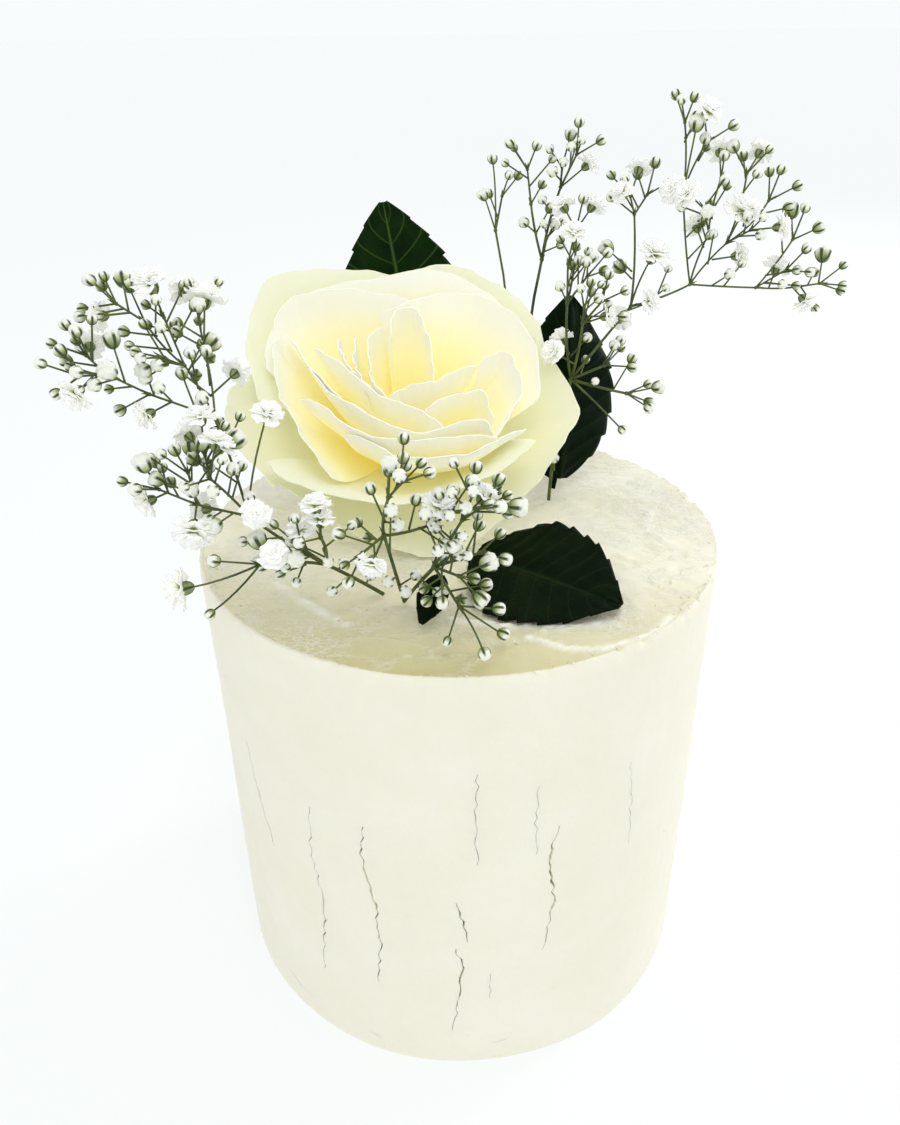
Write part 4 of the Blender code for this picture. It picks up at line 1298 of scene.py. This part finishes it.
def any_way(draw):
    return Vector((draw.uniform(-1, 1), draw.uniform(-1, 1), draw.uniform(-1, 1)))


def side_twigs(branches, number, kinds, draw):
    """Short flowering twigs along the stems, clear of the rose and the icing."""
    found = []
    for path, _ in branches:
        if (path[-1] - path[0]).length > BARE_FROM:
            continue
        for _ in range(number):
            share = draw.uniform(0.25, 0.95)
            start = path[0].lerp(path[-1], share)
            ahead = (path[-1] - path[0]).normalized()
            side = ahead.cross(any_way(draw)).normalized()
            way = (ahead * draw.uniform(0.3, 0.9) + side + Vector((0, 0, 0.35))).normalized()
            end = start + way * draw.uniform(6.0, 11.5)
            kind = draw.choice(kinds)
            if end.z > CAKE_HEIGHT + TWIG_CLEAR and (end - Vector(ROSE_MIDDLE)).length > ROSE_REACH:
                found.append((kind, (start, end), (TWIG_RADIUS, TWIG_RADIUS), way))
    return found


def make_sprig(name, root, thick, stems, seed):
    branches, twigs = sprig_plan(root, thick, stems, seed)
    draw = random.Random(seed + 500)
    twigs += side_twigs(branches, *SIDE_TWIGS[name], draw)
    green = []
    buds = []
    heads = []
    for n, (path, (radius, end_radius)) in enumerate(branches):
        stem = unit_stem(f"{name}_stem_{n}")
        bend_stem(stem, path, radius * STEM_SHARE, end_radius * STEM_SHARE)
        green.append(stem)
        knot = set_at(shut_bud, f"{name}_knot_{n}", path[-1], Vector((0, 0, 1)), end_radius + 0.15, 0.0)
        green.append(knot)
        for side in (-1, 1):
            bract = unit_stem(f"{name}_bract_{n}_{side}")
            ahead = (path[-1] - path[-2]).normalized()
            out = (ahead + side * ahead.cross(Vector((0.7, 0.2, 0.6))).normalized() * 0.8).normalized()
            bend_stem(bract, (path[-1], path[-1] + out * BRACT_LENGTH), *BRACT_RADII)
            green.append(bract)
    for n, (kind, path, (radius, end_radius), facing) in enumerate(twigs):
        centre = path[-1]
        size = FLOWER_RADII[kind]
        spin = draw.uniform(0, 6.28)
        stem = unit_stem(f"{name}_twig_{n}")
        foot = centre - facing * (0.7 * size if kind in "bc" else 0.2 * size)
        bend_stem(stem, (*path[:-1], foot), radius * STEM_SHARE, 0.8 * end_radius * STEM_SHARE)
        green.append(stem)
        if kind in "bc":
            grown = size * draw.uniform(0.70, 0.98)
            master = shut_bud if kind == "b" else open_bud
            buds.append(set_at(master, f"{name}_bud_{n}", centre, facing, grown, spin))
        else:
            grown = size * draw.uniform(1.0, 1.15)
            head = blossoms[n % len(blossoms)]
            low = centre - facing * (0.35 * size)
            heads.append(set_at(head, f"{name}_blossom_{n}", low, facing, grown, spin))
            low = centre - facing * (0.3 * size)
            buds.append(set_at(calyx, f"{name}_calyx_{n}", low, facing, size, spin))
    groups = (("stems", green, sprig_green, "sprig"), ("buds", buds, bud_finish, "sprig"),
              ("blossoms", heads, white_petal, "blossom"))
    for part, things, material, slot in groups:
        if things:
            piece = joined(f"{name}_{part}", things)
            bpy.ops.object.shade_smooth()
            dress(piece, material, slot, name if part == "stems" else None)


# %% [markdown]
# The stems are olive, the buds green with darker stripes and a cream tip, and
# the blossoms white with a greenish heart. The blossoms also glow faintly in
# their own colour, painted light that keeps them white in the shade.
# %% Sprig materials
BUD_TONES = ((0.12, (0.10, 0.15, 0.02)), (0.42, (0.50, 0.55, 0.28)), (0.60, (0.88, 0.90, 0.80)))
SEPAL_GREEN = (0.030, 0.055, 0.006)
STRIPE_EDGE = 0.52
STRIPE_TOP = 0.86
BLOSSOM_TONES = ((0.12, (0.42, 0.46, 0.12)), (0.36, (0.90, 0.92, 0.82)), (0.7, (0.98, 0.98, 0.96)))


def bud_material():
    bud = Finish("bud", {"Roughness": 0.5})
    high, sepal, opening = bud.tint()
    cloud = bud.noise(bud.place(), 700.0, 2.0)
    high = bud.uneven(high, cloud, 0.25)
    opened = bud.plus(high, bud.times(opening, 0.08))
    stripe = bud.times(bud.above(sepal, STRIPE_EDGE, 4.0), bud.below(opened, STRIPE_TOP, 5.0))
    bud.shade("Base Color", bud.mix(stripe, bud.ramp(high, BUD_TONES), SEPAL_GREEN))
    bud.bump(cloud, 0.25, 0.0004)
    return bud.material


def blossom_material():
    # The blossom glows faintly in its own colour: painted light, though it is no lamp.
    blossom = Finish("blossom", {"Roughness": 0.6, "Emission Strength": 0.09, "Specular IOR Level": 0.1})
    along, _, _ = blossom.tint()
    cloud = blossom.noise(blossom.place(), 500.0, 2.0)
    colour = blossom.ramp(blossom.uneven(along, cloud, 0.3), BLOSSOM_TONES)
    blossom.shade("Base Color", colour)
    blossom.shade("Emission Color", colour)
    blossom.bump(cloud, 0.2, 0.0003)
    return blossom.material


sprig_green = green_material("sprig", (0.020, 0.040, 0.004), (0.12, 0.155, 0.020), 110.0, 0.55)
bud_finish = bud_material()
white_petal = blossom_material()

for n, (name, (root, thick, stems)) in enumerate(SPRIGS.items()):
    make_sprig(name, root, thick, stems, SEED + n)

# %% [markdown]
# ## Crumbs
# Dry icing sheds crumbs along the rim, on the top and at the base. They are
# small balls with a lumpy surface, each partly sunk into the icing.
# %% Crumbs
CRUMB_COUNT = 150
CRUMB_SIZES = (0.15, 0.55)
CRUMB_SUNK = 0.2
RIM_SHARE = 0.45
TOP_SHARE = 0.7


def crumb_master():
    deselect()
    bpy.ops.mesh.primitive_ico_sphere_add(subdivisions=2, radius=1.0)
    crumb = added("crumb")
    for vert in crumb.data.vertices:
        vert.co *= 1.0 + 0.45 * noise.noise(vert.co * 1.7)
    return crumb


crumb = crumb_master()
draw = random.Random(SEED + 900)
crumbs = []
for k in range(CRUMB_COUNT):
    size = draw.uniform(*CRUMB_SIZES)
    turn = math.radians(draw.uniform(-175, -5) if k % 3 else draw.uniform(0, 360))
    place = draw.random()
    if place < RIM_SHARE:
        radius = side_radius(turn, CAKE_HEIGHT) - draw.uniform(0.6, 3.0)
        height = top_height(radius * math.cos(turn), radius * math.sin(turn)) - CRUMB_SUNK
    elif place < TOP_SHARE:
        radius = CAKE_RADIUS * math.sqrt(draw.uniform(0.1, 0.92))
        height = top_height(radius * math.cos(turn), radius * math.sin(turn)) - CRUMB_SUNK
    else:
        height = draw.uniform(0.5, 2.0) if draw.random() < 0.6 else draw.uniform(2.0, 150.0)
        radius = side_radius(turn, height) + 0.2 * size
        size *= 0.8 if height < 2.0 else 0.45
    centre = Vector((radius * math.cos(turn), radius * math.sin(turn), height))
    facing = any_way(draw).normalized()
    crumbs.append(set_at(crumb, f"crumb_{k}", centre, facing, size, draw.uniform(0, 6)))
scatter = joined("crumbs", crumbs)
dress(scatter, icing, "icing")

# %% [markdown]
# The stem, buds, blossoms, calyx and crumb that were copied have done their
# work and leave the scene.
# %% Clear the masters away
for master in (master_stem, shut_bud, open_bud, calyx, crumb, *blossoms):
    bpy.data.objects.remove(master, do_unlink=True)
